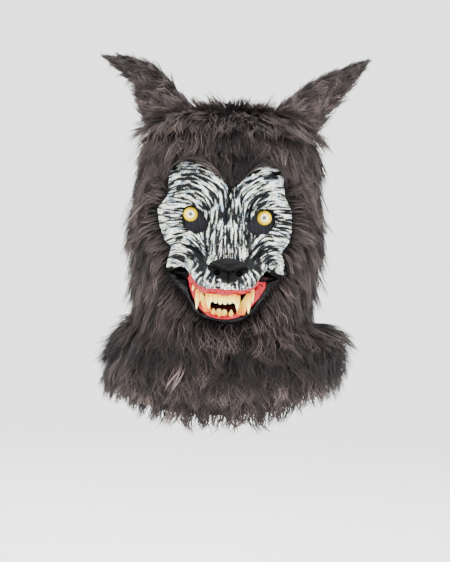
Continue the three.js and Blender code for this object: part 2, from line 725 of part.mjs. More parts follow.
function faceShell(hoodGrown) {
  let shell = faceLayer(0, -SHELL);
  for (const [name, side] of [['left', -1], ['right', 1]]) {
    shell = shell.subtract(prism(EYE_EDGE[name], FRONT, DEEP));
    shell = shell.subtract(eyeBar(side, EYE_DIAMETER / 2 + 2 * GAP, FRONT, DEEP));
  }
  return shell.subtract(hoodGrown);
}

// A solid trimmed to stand a gap behind a wall, with nothing left in front of it
function behindWall(solid, wall) {
  let behind = solid;
  for (const back of [GAP, 0, -SHELL, -2 * SHELL, -3 * SHELL]) {
    behind = behind.subtract(placed(wall, new THREE.Matrix4().makeTranslation(0, back, 0)));
  }
  return behind;
}

const GAUZE_LAP = 4; // gauze behind the edge of its opening

// Sight gauze lapped behind an eye opening, in the curve of the hood's cloth
function eyeMesh(name) {
  const gauze = hoodOuter.subtract(hoodForm(-GAUZE));
  return gauze.intersect(prism(growOutline(EYE_EDGE[name], GAUZE_LAP), FRONT, DEEP));
}

// A dome whose flat side faces back, seated on whatever lies behind it
function dome(x, y, z, radius, rise, stem, sides = 16) {
  const profile = [new THREE.Vector2(0, -stem), new THREE.Vector2(radius, -stem)];
  const steps = 4;
  for (let i = 0; i <= steps; i += 1) {
    const turn = (i / steps) * (Math.PI / 2);
    profile.push(new THREE.Vector2(i === steps ? 0 : radius * Math.cos(turn), rise * Math.sin(turn)));
  }
  const matrix = new THREE.Matrix4().makeRotationZ(Math.PI).setPosition(x, y, z);
  return solidOf(new THREE.LatheGeometry(profile, sides), matrix);
}

function eyeAndPupil(side) {
  const x = eyeX(side);
  const seat = hoodDepth(x, -EYE_DROP, GAP);
  const radius = EYE_DIAMETER / 2;
  const stem = 10;
  const eye = dome(x, seat, -EYE_DROP, radius, EYE_RISE, stem).subtract(hoodGrown);
  const cover = dome(x, seat, -EYE_DROP, radius + GAP, EYE_RISE + GAP, stem);
  const pupil = dome(x, seat - EYE_RISE, -EYE_DROP, PUPIL_DIAMETER / 2, PUPIL_RISE, stem / 2, 10);
  return { eye, pupil: pupil.subtract(cover) };
}

// Nose pad, broad at the top, with a nostril at each side
function nosePad(behindFace) {
  const ball = new THREE.SphereGeometry(1, 18, 10);
  const at = ball.getAttribute('position');
  for (let i = 0; i < at.count; i += 1) {
    const [x, y, z] = [at.getX(i), at.getY(i), at.getZ(i)];
    const narrow = mix(0.62, 1.06, smoothStep((z + 1) / 1.6));
    const square = 1 + 0.12 * (1 - z * z) * Math.abs(x);
    at.setXYZ(i, (x * narrow * square * NOSE_WIDTH) / 2, y * NOSE_DEPTH, (z * NOSE_HEIGHT) / 2);
  }
  const x = faceX(0.07);
  const z = faceZ(0.835);
  const seat = faceDepth(x, z);
  let nose = solidOf(ball, new THREE.Matrix4().makeTranslation(x, seat + 2, z));
  for (const side of [-1, 1]) {
    const nostril = new THREE.SphereGeometry(1, 8, 6);
    nostril.scale(NOSE_WIDTH * 0.13, NOSE_DEPTH * 0.55, NOSE_HEIGHT * 0.11);
    nostril.rotateY(side * 0.5);
    nostril.translate(x + side * NOSE_WIDTH * 0.29, seat - NOSE_DEPTH * 0.62, z - NOSE_HEIGHT * 0.08);
    nose = nose.subtract(solidOf(nostril));
  }
  return nose.subtract(behindFace);
}

// Mouth

// A layer behind a surface y = depth(x, z), over the mouth and its surroundings
function mouthLayer(depth, front, back) {
  const columns = 18;
  const rows = 9;
  const rings = [];
  for (let i = 0; i <= rows; i += 1) {
    const z = mix(mouthZ(-0.4), mouthZ(1.3), i / rows);
    const across = Array.from({ length: columns + 1 }, (_, j) => mouthX(mix(-1.2, 1.2, j / columns)));
    const outer = across.map((x) => new THREE.Vector3(x, depth(x, z) + front, z));
    const inner = across.map((x) => new THREE.Vector3(x, back === undefined ? DEEP : depth(x, z) + back, z));
    rings.push([...outer, ...inner.reverse()]);
  }
  return loft(rings);
}

// Front of the lower jaw
function jawDepth(x, z) {
  const down = (-MOUTH_TOP - z) / MOUTH_HEIGHT;
  const across = (x - mouthX(0)) / (MOUTH_WIDTH / 2);
  return hoodDepth(x, z, GAP) - JAW_REACH * hill(across / 0.62, 4) * smoothStep(down / 0.55 + 0.1);
}

// Both edges of a band beside an open outline, as one closed outline
const band = (outer, inner) => [...outer, ...[...inner].reverse()];

function growPath(path, distance) {
  const side = Math.sign(path[path.length - 1].x - path[0].x) * distance;
  return path.map((p, i) => {
    const before = path[Math.max(i - 1, 0)];
    const after = path[Math.min(i + 1, path.length - 1)];
    const along = new THREE.Vector2(after.x - before.x, after.z - before.z).normalize();
    return { x: p.x + along.y * side, z: p.z - along.x * side };
  });
}

// Height of a path of { x, z } points at a place across
function heightOn(path, x) {
  for (let i = 0; i < path.length - 1; i += 1) {
    const [a, b] = [path[i], path[i + 1]];
    if ((a.x - x) * (b.x - x) <= 0 && a.x !== b.x) return mix(a.z, b.z, (x - a.x) / (b.x - a.x));
  }
  return path[x < path[0].x ? 0 : path.length - 1].z;
}

const MOUTH_EDGE = MOUTH_OUTLINE.map(mouthPlace);
const LOWER_GUM_OUTER = LOWER_GUM_OUTLINE.map(mouthPlace);
const LOWER_GUM_INNER = growPath(LOWER_GUM_OUTER, -LOWER_GUM_WIDTH);
const UPPER_GUM_LOWER = UPPER_GUM_EDGE.map(mouthPlace);
const UPPER_GUM_UPPER = UPPER_GUM_LOWER.map((p) => ({ x: p.x, z: p.z + UPPER_GUM_HEIGHT }));
const LAYER_REACH = 1.22; // the gum's layer goes past the face's edge by this share

function upperGum(grow) {
  const layer = faceLayer(grow - SHELL - GAP, -SHELL - GAP - GUM_DEPTH - grow, LAYER_REACH);
  const outline = band(growPath(UPPER_GUM_LOWER, grow), growPath(UPPER_GUM_UPPER, -grow));
  return layer.intersect(prism(outline, FRONT, DEEP));
}

function lowerGum(grow) {
  const outline = band(growPath(LOWER_GUM_OUTER, grow), growPath(LOWER_GUM_INNER, -grow));
  const layer = mouthLayer(jawDepth, GUM_SET_BACK - grow, GUM_SET_BACK + 2 * GUM_DEPTH + grow);
  return layer.intersect(prism(outline, FRONT, DEEP));
}

// Black lip and jaw: a wall that runs forward from the hood to the front of the jaw
function jawLip(hoodGrown) {
  const outline = band(MOUTH_EDGE, growPath(LOWER_GUM_OUTER, GAP));
  return mouthLayer(jawDepth, 0).intersect(prism(outline, FRONT, DEEP)).subtract(hoodGrown);
}

const TOOTH_RINGS = [
  { along: -0.5, share: 0.94 },
  { along: 0.0, share: 1.0 },
  { along: 0.4, share: 0.86 },
  { along: 0.75, share: 0.55 },
];
const TOOTH_COLUMNS = 6;
const ROOT_DEPTH = 4; // root inside the gum, before it is trimmed

// A tooth from its gum, up or down, grown by a distance
function tooth(row, direction, rootY, rootZ, grow) {
  const halfWidth = (TOOTH_WIDTH * row.width) / 2;
  const halfDepth = Math.min(halfWidth * 0.8, GUM_DEPTH * 0.36);
  const length = TOOTH_LENGTH * row.length + grow;
  const lean = (along) => TOOTH_LENGTH * row.lean * Math.max(along, 0) ** 2;
  const ring = (along, share, flat) => turns(TOOTH_COLUMNS).map((turn) => new THREE.Vector3(
    mouthX(row.across) + lean(along) + (halfWidth * share + grow) * Math.sin(turn),
    rootY - (halfDepth * flat + grow) * Math.cos(turn),
    rootZ + direction * (along < 0 ? -ROOT_DEPTH : along * length),
  ));
  const rings = TOOTH_RINGS.map(({ along, share }) => {
    const worn = mix(share, 1, row.blunt * Math.max(along, 0));
    return ring(along, worn, share);
  });
  rings.push(ring(1, mix(0.1, 0.78, row.blunt), mix(0.1, 0.3, row.blunt)));
  return loft(rings);
}

function upperTooth(row, grow = 0) {
  const x = mouthX(row.across);
  const z = heightOn(UPPER_GUM_LOWER, x);
  return tooth(row, -1, faceDepth(x, z + 1) + SHELL + GAP + GUM_DEPTH / 2, z, grow);
}

function lowerTooth(row) {
  const x = mouthX(row.across);
  const z = heightOn(LOWER_GUM_INNER, x);
  return tooth(row, 1, jawDepth(x, z - 1) + GUM_SET_BACK + GUM_DEPTH, z, 0);
}

// The hole in the hood's cloth, within the rims that seat on it
function hoodHole(inset) {
  const top = { x: mouthX(0), z: mouthZ(-0.6) };
  const face = prism(growOutline(FACE_EDGE, inset), FRONT, DEEP);
  return face.add(prism(growOutline([...MOUTH_EDGE, top], inset), FRONT, DEEP));
}

// Assembly

const colour = (r, g, b) => new THREE.Color().setRGB(r / 255, g / 255, b / 255, THREE.SRGBColorSpace);
const finish = (color, roughness) => () => new THREE.MeshStandardMaterial({ color, roughness, metalness: 0 });

const FINISHES = {
  cloth: finish(colour(46, 40, 39), 0.95),
  fur: finish(colour(78, 69, 67), 0.92),
  face: finish(colour(150, 154, 152), 0.5),
  nose: finish(colour(34, 35, 38), 0.25),
  gauze: finish(colour(52, 52, 57), 0.9),
  eye: finish(colour(238, 216, 104), 0.3),
  pupil: finish(colour(34, 32, 30), 0.25),
  gum: finish(colour(206, 74, 88), 0.35),
  tooth: finish(colour(238, 222, 168), 0.35),
  lip: finish(colour(20, 20, 22), 0.15),
};

const mask = new THREE.Group();

function addPiece(name, finishName, solid, matrix) {
  const piece = new THREE.Mesh(geometryOf(solid), FINISHES[finishName]());
  piece.name = name;
  if (matrix) piece.applyMatrix4(matrix);
  mask.add(piece);
}

const capeCore = capeForm(GAP, { above: 1, below: 60 });

// Hood and cape cloth
addPiece('hood_backing', 'cloth', hoodOuter.subtract(hoodForm(-CLOTH, 20)).subtract(hoodHole(-FLANGE)));
addPiece('cape_backing', 'cloth', capeForm(0).subtract(capeForm(-CLOTH, { above: 6, below: 20 })));

// Ears, trimmed to the hood
const earGrown = [];
for (const [name, side] of [['left', -1], ['right', 1]]) {
  const matrix = earPlace(side);
  const unplaced = matrix.clone().invert();
  const ear = earForm(name, side, 0).subtract(placed(hoodGrown, unplaced));
  addPiece(`ear_${name}`, 'fur', ear, matrix);
  earGrown.push(placed(earForm(name, side, GAP), matrix));
}

// Fur
const pileOuter = hoodPileForm(0);
let hoodPile = pileOuter.subtract(hoodGrown).subtract(capeCore).subtract(hoodHole(2 * GAP));
for (const ear of earGrown) hoodPile = hoodPile.subtract(ear);
addPiece('hood_pile', 'fur', hoodPile);
addPiece('cape_pile', 'fur', capePileForm().subtract(capeCore).subtract(hoodPileForm(GAP)));

// Face, eyes and nose
const shell = faceShell(hoodGrown);
addPiece('face_shell', 'face', shell);
addPiece('nose', 'nose', nosePad(faceLayer(GAP)));
for (const [name, side] of [['left', -1], ['right', 1]]) {
  addPiece(`eye_mesh_${name}`, 'gauze', eyeMesh(name));
  const { eye, pupil } = eyeAndPupil(side);
  addPiece(`eye_${name}`, 'eye', eye);
  addPiece(`pupil_${name}`, 'pupil', pupil);
}

// Mouth
const upperGumGrown = upperGum(GAP);
const lowerGumGrown = lowerGum(GAP);
addPiece('upper_gum', 'gum', behindWall(upperGum(0), shell).subtract(hoodGrown));
let jawGum = lowerGum(0).subtract(hoodGrown).subtract(upperGumGrown);
for (const row of UPPER_TEETH) {
  addPiece(row.name, 'tooth', behindWall(upperTooth(row).subtract(upperGumGrown), shell));
  jawGum = jawGum.subtract(upperTooth(row, GAP));
}
addPiece('lower_gum', 'gum', jawGum);
for (const row of LOWER_TEETH) addPiece(row.name, 'tooth', lowerTooth(row).subtract(lowerGumGrown));
addPiece('jaw_lip', 'lip', jawLip(hoodGrown).subtract(upperGumGrown).subtract(capeCore));
const linerWall = hoodForm(-CLOTH - GAP).subtract(hoodForm(-CLOTH - GAP - LINER, 20));
addPiece('mouth_liner', 'lip', linerWall.intersect(prism(MOUTH_EDGE, FRONT, DEEP)));

export default mask;
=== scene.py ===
"""A werewolf mask: long-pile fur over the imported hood, cape and ears, and a painted moulded face."""

import math

import bpy
import numpy as np
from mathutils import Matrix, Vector
from mathutils.bvhtree import BVHTree
from mathutils.kdtree import KDTree


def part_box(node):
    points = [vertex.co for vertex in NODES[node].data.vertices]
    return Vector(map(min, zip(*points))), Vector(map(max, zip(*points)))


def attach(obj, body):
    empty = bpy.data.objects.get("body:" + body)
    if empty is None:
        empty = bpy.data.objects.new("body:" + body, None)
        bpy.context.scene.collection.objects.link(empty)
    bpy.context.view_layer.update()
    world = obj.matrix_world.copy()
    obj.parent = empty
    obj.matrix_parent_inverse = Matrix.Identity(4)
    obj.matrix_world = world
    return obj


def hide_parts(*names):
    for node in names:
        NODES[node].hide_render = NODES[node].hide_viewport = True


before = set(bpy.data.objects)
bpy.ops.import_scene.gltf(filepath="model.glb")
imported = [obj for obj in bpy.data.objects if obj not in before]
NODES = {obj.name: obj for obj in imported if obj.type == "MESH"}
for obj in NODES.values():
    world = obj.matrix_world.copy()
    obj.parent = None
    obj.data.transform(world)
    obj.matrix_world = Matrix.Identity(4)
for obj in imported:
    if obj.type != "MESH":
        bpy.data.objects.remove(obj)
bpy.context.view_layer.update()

BODY = "root"
MM = 0.001
BEFORE_MASK = -0.3  # where rays start, in front of the nose


# Meshes and surfaces


def triples(items, key, kind=float):
    """Three values of each item of a mesh, one row for each."""
    values = np.empty(len(items) * 3, dtype=kind)
    items.foreach_get(key, values)
    return values.reshape(-1, 3)


def mesh_arrays(obj):
    """Vertex positions and triangle corners of an object's mesh, at rest."""
    obj.data.calc_loop_triangles()
    return triples(obj.data.vertices, "co"), triples(obj.data.loop_triangles, "vertices", np.int64)


def tree_of(*names):
    """One ray-casting tree over several CAD nodes."""
    points, faces, start = [], [], 0
    for name in names:
        p, f = mesh_arrays(NODES[name])
        points.append(p)
        faces.append(f + start)
        start += len(p)
    return BVHTree.FromPolygons(np.concatenate(points).tolist(), np.concatenate(faces).tolist())


def front_hit(tree, x, z):
    """Where a ray from the front first meets a tree, or None."""
    return tree.ray_cast(Vector((x, BEFORE_MASK, z)), Vector((0, 1, 0)))[0]


def unit(vectors):
    return vectors / np.maximum(np.linalg.norm(vectors, axis=-1, keepdims=True), 1e-9)


def level(places):
    """Directions away from the upright axis."""
    return unit(places * np.array([1, 1, 0]))


def linked(name, data):
    """A new object in the scene."""
    obj = bpy.data.objects.new(name, data)
    bpy.context.scene.collection.objects.link(obj)
    return obj


def mesh_object(name, points, faces):
    mesh = bpy.data.meshes.new(name)
    mesh.from_pydata(points.tolist(), [], faces.tolist())
    mesh.shade_smooth()
    mesh.update()
    return linked(name, mesh)


def float_attribute(obj, name, values):
    layer = obj.data.attributes.new(name, "FLOAT", "POINT")
    layer.data.foreach_set("value", np.asarray(values, dtype=np.float32))


def grid_faces(shape):
    """The quads between the points of a grid."""
    grid = np.arange(shape[0] * shape[1]).reshape(shape)
    return np.stack([grid[:-1, :-1], grid[1:, :-1], grid[1:, 1:], grid[:-1, 1:]], axis=-1).reshape(-1, 4)


def tube_faces(rings, sides, start=0):
    """Triangles between rings of points, one ring after another."""
    faces = []
    for a in range(start, start + rings * sides, sides):
        b = a + sides
        for j in range(sides):
            k = (j + 1) % sides
            faces += [(a + j, a + k, b + k), (a + j, b + k, b + j)]
    return faces


# Materials


class Nodes:
    """A material's node tree, with short calls to add and join nodes."""

    def __init__(self, name):
        self.material = bpy.data.materials.new(name)
        self.material.use_nodes = True
        self.tree = self.material.node_tree
        self.tree.nodes.clear()
        self.shader = self.add("ShaderNodeBsdfPrincipled")
        self.feed(self.shader.outputs["BSDF"], self.add("ShaderNodeOutputMaterial").inputs["Surface"])

    def add(self, kind, inputs=None, **settings):
        """A new node, with values for its inputs by name and its other settings."""
        node = self.tree.nodes.new(kind)
        for key, value in settings.items():
            setattr(node, key, value)
        for key, value in (inputs or {}).items():
            node.inputs[key].default_value = value
        return node

    def feed(self, value, socket):
        """A number or colour set on an input, or another node's output joined to it."""
        if isinstance(value, (int, float, tuple)):
            socket.default_value = value
        else:
            self.tree.links.new(value, socket)

    def noise(self, scale, detail=3.0, roughness=0.55, stretch=None):
        texture = self.add("ShaderNodeTexNoise", {"Scale": scale, "Detail": detail, "Roughness": roughness})
        self.mapped(texture, stretch)
        return texture.outputs["Fac"]

    def wobble(self, *noise_values):
        """Noise about zero."""
        return self.math("SUBTRACT", self.noise(*noise_values), 0.5)

    def mapped(self, texture, stretch=None):
        """The texture laid out in the mask's own space, stretched or not."""
        place = self.add("ShaderNodeTexCoord").outputs["Object"]
        if stretch:
            mapping = self.add("ShaderNodeMapping", {"Scale": stretch})
            self.feed(place, mapping.inputs["Vector"])
            place = mapping.outputs["Vector"]
        self.feed(place, texture.inputs["Vector"])

    def attribute(self, name):
        return self.add("ShaderNodeAttribute", attribute_name=name).outputs["Fac"]

    def math(self, operation, first, second):
        node = self.add("ShaderNodeMath", operation=operation)
        self.feed(first, node.inputs[0])
        self.feed(second, node.inputs[1])
        return node.outputs[0]

    def times(self, value, factor):
        return self.math("MULTIPLY", value, factor)

    def ramp(self, value, stops):
        node = self.add("ShaderNodeValToRGB")
        elements = node.color_ramp.elements
        while len(elements) < len(stops):
            elements.new(0.5)
        for element, (position, colour) in zip(elements, stops):
            element.position = position
            element.color = srgb(*colour)
        self.tree.links.new(value, node.inputs["Fac"])
        return node.outputs["Color"]

    def mix(self, share, first, second):
        node = self.add("ShaderNodeMix", data_type="RGBA")
        for index, value in ((0, share), (6, first), (7, second)):  # the colour inputs of the node
            self.feed(value, node.inputs[index])
        return node.outputs[2]

    def colour(self, value):
        self.feed(value, self.shader.inputs["Base Color"])

    def finish(self, roughness, specular, coat=0.0):
        for key, value in (("Roughness", roughness), ("Specular IOR Level", specular), ("Coat Weight", coat)):
            self.feed(value, self.shader.inputs[key])

    def bump(self, height, distance, strength=1.0):
        node = self.add("ShaderNodeBump", {"Distance": distance, "Strength": strength})
        self.feed(height, node.inputs["Height"])
        self.feed(node.outputs["Normal"], self.shader.inputs["Normal"])


def srgb(*colour):
    """A colour given as 0 to 255, as Blender's linear values."""
    shares = [value / 255 for value in colour]
    return tuple(s / 12.92 if s <= 0.04045 else ((s + 0.055) / 1.055) ** 2.4 for s in shares) + (1.0,)


def fur_material():
    m = Nodes("fur")
    shade = m.math("ADD", m.attribute("tone"), m.times(m.wobble(28), 0.35))
    m.colour(m.ramp(shade, [
        (0.0, (15, 11, 12)),
        (0.3, (48, 39, 38)),
        (0.6, (98, 84, 80)),
        (1.0, (176, 158, 148)),
    ]))
    m.finish(0.6, 0.35)
    return m.material


def cloth_material():
    m = Nodes("cloth")
    knit = m.noise(900, 2)
    m.colour(m.ramp(knit, [(0.3, (11, 9, 9)), (0.7, (24, 20, 20))]))
    m.bump(knit, 0.0006)
    m.finish(0.95, 0.15)
    return m.material


# Outline of the face and mouth, seen from the front

FACE_MIDDLE = Vector((0.002, 0.0, -0.155))
FACE_TREE = tree_of("face_shell", "jaw_lip")
OUTLINE_TURNS = 360


def outline_radius(turn):
    """Distance from the middle of the face to its edge, or the mouth's, in one direction."""
    reach = 0.13
    while reach > 0.03:
        place = FACE_MIDDLE + Vector((math.cos(turn), 0, math.sin(turn))) * reach
        if front_hit(FACE_TREE, place.x, place.z):
            return reach
        reach -= 0.5 * MM
    return reach


OUTLINE = np.array([outline_radius(2 * math.pi * i / OUTLINE_TURNS) for i in range(OUTLINE_TURNS)])


def ring_at(ring, place):
    """The value of a closed ring of values between two of its places."""
    return np.interp(place % len(ring), np.arange(len(ring) + 1), np.append(ring, ring[0]))


def face_polar(points):
    """Direction and distance past the outline of each point, seen from the front."""
    dx = points[..., 0] - FACE_MIDDLE.x
    dz = points[..., 2] - FACE_MIDDLE.z
    turn = np.arctan2(dz, dx) % (2 * math.pi)
    radius = np.hypot(dx, dz)
    edge = ring_at(OUTLINE, turn / (2 * math.pi) * OUTLINE_TURNS)
    return np.stack([np.cos(turn), 0 * turn, np.sin(turn)], axis=-1), radius - edge


# Fur

SHORT_STEPS = np.array([0.0, 0.34, 0.7, 1.0])
LONG_STEPS = np.array([0.0, 0.18, 0.38, 0.6, 0.82, 1.0])
DOWN = np.array([0.0, 0.0, -1.0])
STRAND_SPREAD, LOCK_SPREAD = 0.07, 0.16  # how far the flow of a strand and of a lock strays
LOCK_PULL, LOCK_DRAW = 0.8, 0.74  # how far a tip follows its lock, and how much closer it comes to it
STRAY_SHARE, STRAY_PULL = 0.12, 0.2  # the strands that hardly follow their lock
TONE, LOCK_TONE, STRAND_TONE = 0.42, 0.12, 0.09  # middle tone of the fur and its spreads
FACE_HALF = -0.04  # in front of this, the hood's fur keeps off the face
HOOD_HALF = -0.02  # in front of this, it is the front of the hood
HOOD_LENGTH, BEARD_MORE, LOW_LESS, CROWN_LESS = 0.040, 0.014, 0.024, 0.012
CAPE_LENGTH, HEM_MORE = 0.022, 0.016
EAR_LENGTH, EAR_MORE = 0.01, 0.016  # at the tip, and added towards the root


def surface_roots(node, count, rng, keep):
    """Random places on the outside of a node's wall, with their outward normals."""
    points, corners = mesh_arrays(NODES[node])
    a, b, c = (points[corners[:, i]] for i in range(3))
    cross = np.cross(b - a, c - a)
    area = np.linalg.norm(cross, axis=1)
    normal = unit(cross)
    middle = (a + b + c) / 3
    wanted = keep(middle, normal)
    a, b, c, area, normal = (values[wanted] for values in (a, b, c, area, normal))
    pick = rng.choice(len(area), count, p=area / area.sum())
    u, v = rng.random(count), rng.random(count)
    flip = u + v > 1
    u[flip], v[flip] = 1 - u[flip], 1 - v[flip]
    roots = a[pick] + u[:, None] * (b - a)[pick] + v[:, None] * (c - a)[pick]
    return roots, normal[pick]


def strand_paths(roots, normals, flow, length, lift, rng, wave, droop, steps):
    """Points of each strand: out from the root, then along the flow, with a wave and a droop."""
    side = unit(np.cross(normals, flow))
    phase = rng.random(len(roots)) * 2 * math.pi
    lean = rng.normal(0, 0.22, len(roots))
    paths = []
    for s in steps:
        along = flow * s + side * (lean * s)[:, None]
        up = normals * (lift * s * (1 - 0.42 * s))[:, None]
        swing = side * (wave * s * np.sin(2.2 * math.pi * s + phase))[:, None]
        paths.append(roots + length[:, None] * (along + up + swing + DOWN * droop * s * s))
    return np.stack(paths, axis=1)


def fur(name, roots, normals, flow_at, length, lift, width, clump, rng, comb=None, wave=0.12,
        droop=0.12, steps=SHORT_STEPS):
    """A joined mesh of closed, tapered strands that gather into locks."""
    count = len(roots)
    flow = unit(flow_at(roots, normals) + rng.normal(0, STRAND_SPREAD, (count, 3)))
    reach, rise = length * rng.uniform(0.75, 1.15, count), lift * rng.uniform(0.6, 1.3, count)
    own = strand_paths(roots, normals, flow, reach, rise, rng, wave, droop, steps)
    locks = rng.choice(count, max(8, int(count / clump)), replace=False)
    tree = KDTree(len(locks))
    for index, lock in enumerate(locks):
        tree.insert(Vector(roots[lock]), index)
    tree.balance()
    nearest = np.array([tree.find(Vector(root))[1] for root in roots])
    lock_flow = unit(flow[locks] + rng.normal(0, LOCK_SPREAD, (len(locks), 3)))
    reach = length[locks] * rng.uniform(0.85, 1.25, len(locks))
    rise = lift[locks] * rng.uniform(0.5, 1.6, len(locks))
    guides = strand_paths(roots[locks], normals[locks], lock_flow, reach, rise, rng, wave * 1.5, droop, steps)
    pull = (LOCK_PULL * steps ** 1.1)[None, :, None] * rng.uniform(0.7, 1.0, count)[:, None, None]
    pull[rng.random(count) < STRAY_SHARE] *= STRAY_PULL
    apart = (roots - roots[locks][nearest])[:, None, :] * (1 - LOCK_DRAW * steps)[None, :, None]
    paths = own * (1 - pull) + (guides[nearest] + apart) * pull
    if comb is not None:
        paths = comb(paths)
    lock_tone = rng.normal(0, LOCK_TONE, len(locks))
    tone = TONE + lock_tone[nearest] + rng.normal(0, STRAND_TONE, count) - darker_and_shaded(roots)
    return strands_mesh(name, paths, normals, width * rng.uniform(0.7, 1.25, count), tone, steps)


def darker_and_shaded(roots):
    """How much darker the fur is: painted shade under the beard, and darker on the brow, on the ears, on the
    cape and a little everywhere.
    """
    x, z = roots[:, 0], roots[:, 2]
    brow = 0.36 * np.exp(-(x / 0.05) ** 2 - ((z + 0.04) / 0.035) ** 2)
    # painted shade: a dark band where the beard overhangs the top of the cape, at the front
    beard_shade = 0.34 * np.exp(-((z + 0.272) / 0.014) ** 2) * (roots[:, 1] < 0)
    ears = 0.12 * (z > 0.02)
    cape = 0.06 * (z < -0.285)
    return brow + beard_shade + ears + cape + 0.02


def strands_mesh(name, paths, normals, width, tone, steps):
    """Strands with three sides and a pointed tip, darker towards the root with painted shade deep in the
    pile.
    """
    count = len(paths)
    rings = len(steps) - 1
    blade = np.interp(steps[:rings], [0, 0.34, 0.7, 1], [0.85, 1, 0.7, 0])
    heading = unit(np.gradient(paths, axis=1))
    side = unit(np.cross(heading, normals[:, None, :]))
    back = np.cross(side, heading)
    points = np.empty((count, rings * 3 + 1, 3))
    for i in range(rings):
        half = (width * blade[i] / 2)[:, None]
        centre = paths[:, i]
        points[:, i * 3] = centre - side[:, i] * half
        points[:, i * 3 + 1] = centre + side[:, i] * half
        points[:, i * 3 + 2] = centre - back[:, i] * half * 0.7
    points[:, -1] = paths[:, -1]
    last = (rings - 1) * 3
    tip = [(last + j, last + (j + 1) % 3, rings * 3) for j in range(3)]
    faces = np.array(tube_faces(rings - 1, 3) + tip + [(2, 1, 0)])
    every = (faces[None] + (np.arange(count) * (rings * 3 + 1))[:, None, None]).reshape(-1, 3)
    obj = mesh_object(name, points.reshape(-1, 3), every)
    share = np.append(np.repeat(steps[:rings], 3), 1.0)
    # the tone falls towards the root: painted shade deep in the pile
    shade = tone[:, None] * (0.26 + 0.95 * share[None])
    float_attribute(obj, "tone", shade.reshape(-1))
    return dressed(obj, FUR, "fur")


def comb_face(paths):
    """Strands are combed off the face: what would cross its edge is pushed out to it."""
    away, past = face_polar(paths)
    front = paths[..., 1] < -0.05
    over = np.where(front, np.maximum(0, 2 * MM - past), 0) * (SHORT_STEPS > 0.1)
    return paths + away * over[..., None]


def outside(middle, normal):
    """Whether a face of the hood's wall is on its outside."""
    return ((level(middle) * normal).sum(axis=1) > 0.25) | ((normal[:, 2] > 0.3) & (middle[:, 2] > -0.06))


def near_face(points, reach):
    """1 at the edge of the face and mouth, fading to 0 at a distance, on the front only."""
    past = face_polar(points)[1]
    return np.clip(1 - past / reach, 0, 1) * (points[:, 1] < FACE_HALF)


def laid(flow, normals, share=0.9):
    """Flow laid down along the surface."""
    return unit(flow - normals * (flow * normals).sum(axis=1, keepdims=True) * share)


HOOD_MIDDLE = np.array([0, 0.015, 0])
CHEEKS, BEARD, CHIN = -0.15, -0.19, -0.2  # heights at which they begin


def below(roots, height, fade):
    """0 down to a height and 1 from a given distance below it."""
    return np.clip((height - roots[:, 2]) / fade, 0, 1)


def crown_share(roots):
    """1 on the crown between the ears, 0 below them and at its sides."""
    reach = np.hypot(roots[:, 0], roots[:, 1] - HOOD_MIDDLE[1])
    return soft_step(-0.075, -0.015, roots[:, 2]) * (1 - soft_step(0.07, 0.1, reach))


def hood_flow(roots, normals):
    crown = crown_share(roots)[:, None]
    spread = unit(np.stack([roots[:, 0], roots[:, 1], np.full(len(roots), 0.07)], axis=1))
    outward = 0.25 * level(roots - HOOD_MIDDLE)
    flow = DOWN * (1 - crown) + spread * crown * 0.9 + outward * (1 - crown)
    away = face_polar(roots)[0]
    edge = near_face(roots, 0.045)[:, None] ** 1.5
    low = below(roots, CHEEKS, 0.06)[:, None]
    flow = flow * (1 - edge) + (away + DOWN * 0.35) * edge
    return laid(flow + away * low * near_face(roots, 0.09)[:, None] * 0.5, normals)


def hood_length(roots):
    edge = near_face(roots, 0.022)
    front = roots[:, 1] < HOOD_HALF
    beard = below(roots, BEARD, 0.05) * front
    low = soft_step(-0.222, -0.25, roots[:, 2]) * front
    length = HOOD_LENGTH + BEARD_MORE * beard - LOW_LESS * low - CROWN_LESS * crown_share(roots)
    return length * (1 - 0.5 * edge)


def hood_fur(name, count, seed, width, front):
    rng = np.random.default_rng(seed)

    def kept(middle, normal):
        return outside(middle, normal) & ((middle[:, 1] < HOOD_HALF) == front)

    roots, normals = surface_roots("hood_backing", count, rng, kept)
    past = face_polar(roots)[1]
    covered = (roots[:, 1] < FACE_HALF) & (past < -1 * MM)
    roots, normals = roots[~covered], normals[~covered]
    length = hood_length(roots)
    beard = below(roots, CHIN, 0.04) * (roots[:, 1] < -0.03)
    lift = 0.42 + 0.3 * beard + 0.3 * crown_share(roots)
    return fur(name, roots, normals, hood_flow, length, lift, width, 11, rng, comb_face)


def cape_corner(roots):
    """1 at the lower corners of the cape, seen from the front."""
    return soft_step(0.07, 0.12, abs(roots[:, 0])) * soft_step(-0.32, -0.35, roots[:, 2])


def down_flow(roots, normals):
    inward = -np.sign(roots[:, :1]) * cape_corner(roots)[:, None] * np.array([1, 0, 0])
    return laid(DOWN + level(roots) * 0.25 + inward, normals)


def cape_fur(name, count, seed, width, steps, front):
    rng = np.random.default_rng(seed)

    def kept(middle, normal):
        return cape_outside(middle, normal) & ((middle[:, 1] < 0) == front)

    roots, normals = surface_roots("cape_backing", count, rng, kept)
    hem = soft_step(-0.335, -0.29, roots[:, 2] - 0.07 * roots[:, 0])
    length = (CAPE_LENGTH + HEM_MORE * hem) * (1 - 0.4 * cape_corner(roots))
    lift = 0.34 + 0.16 * hem
    return fur(name, roots, normals, down_flow, length, lift, width, 12, rng, wave=0.2, steps=steps)


def cape_outside(middle, normal):
    """Whether a face of the cape's wall is on its outside or its top."""
    return (level(middle) * normal).sum(axis=1) + normal[:, 2] * 0.6 > 0.3


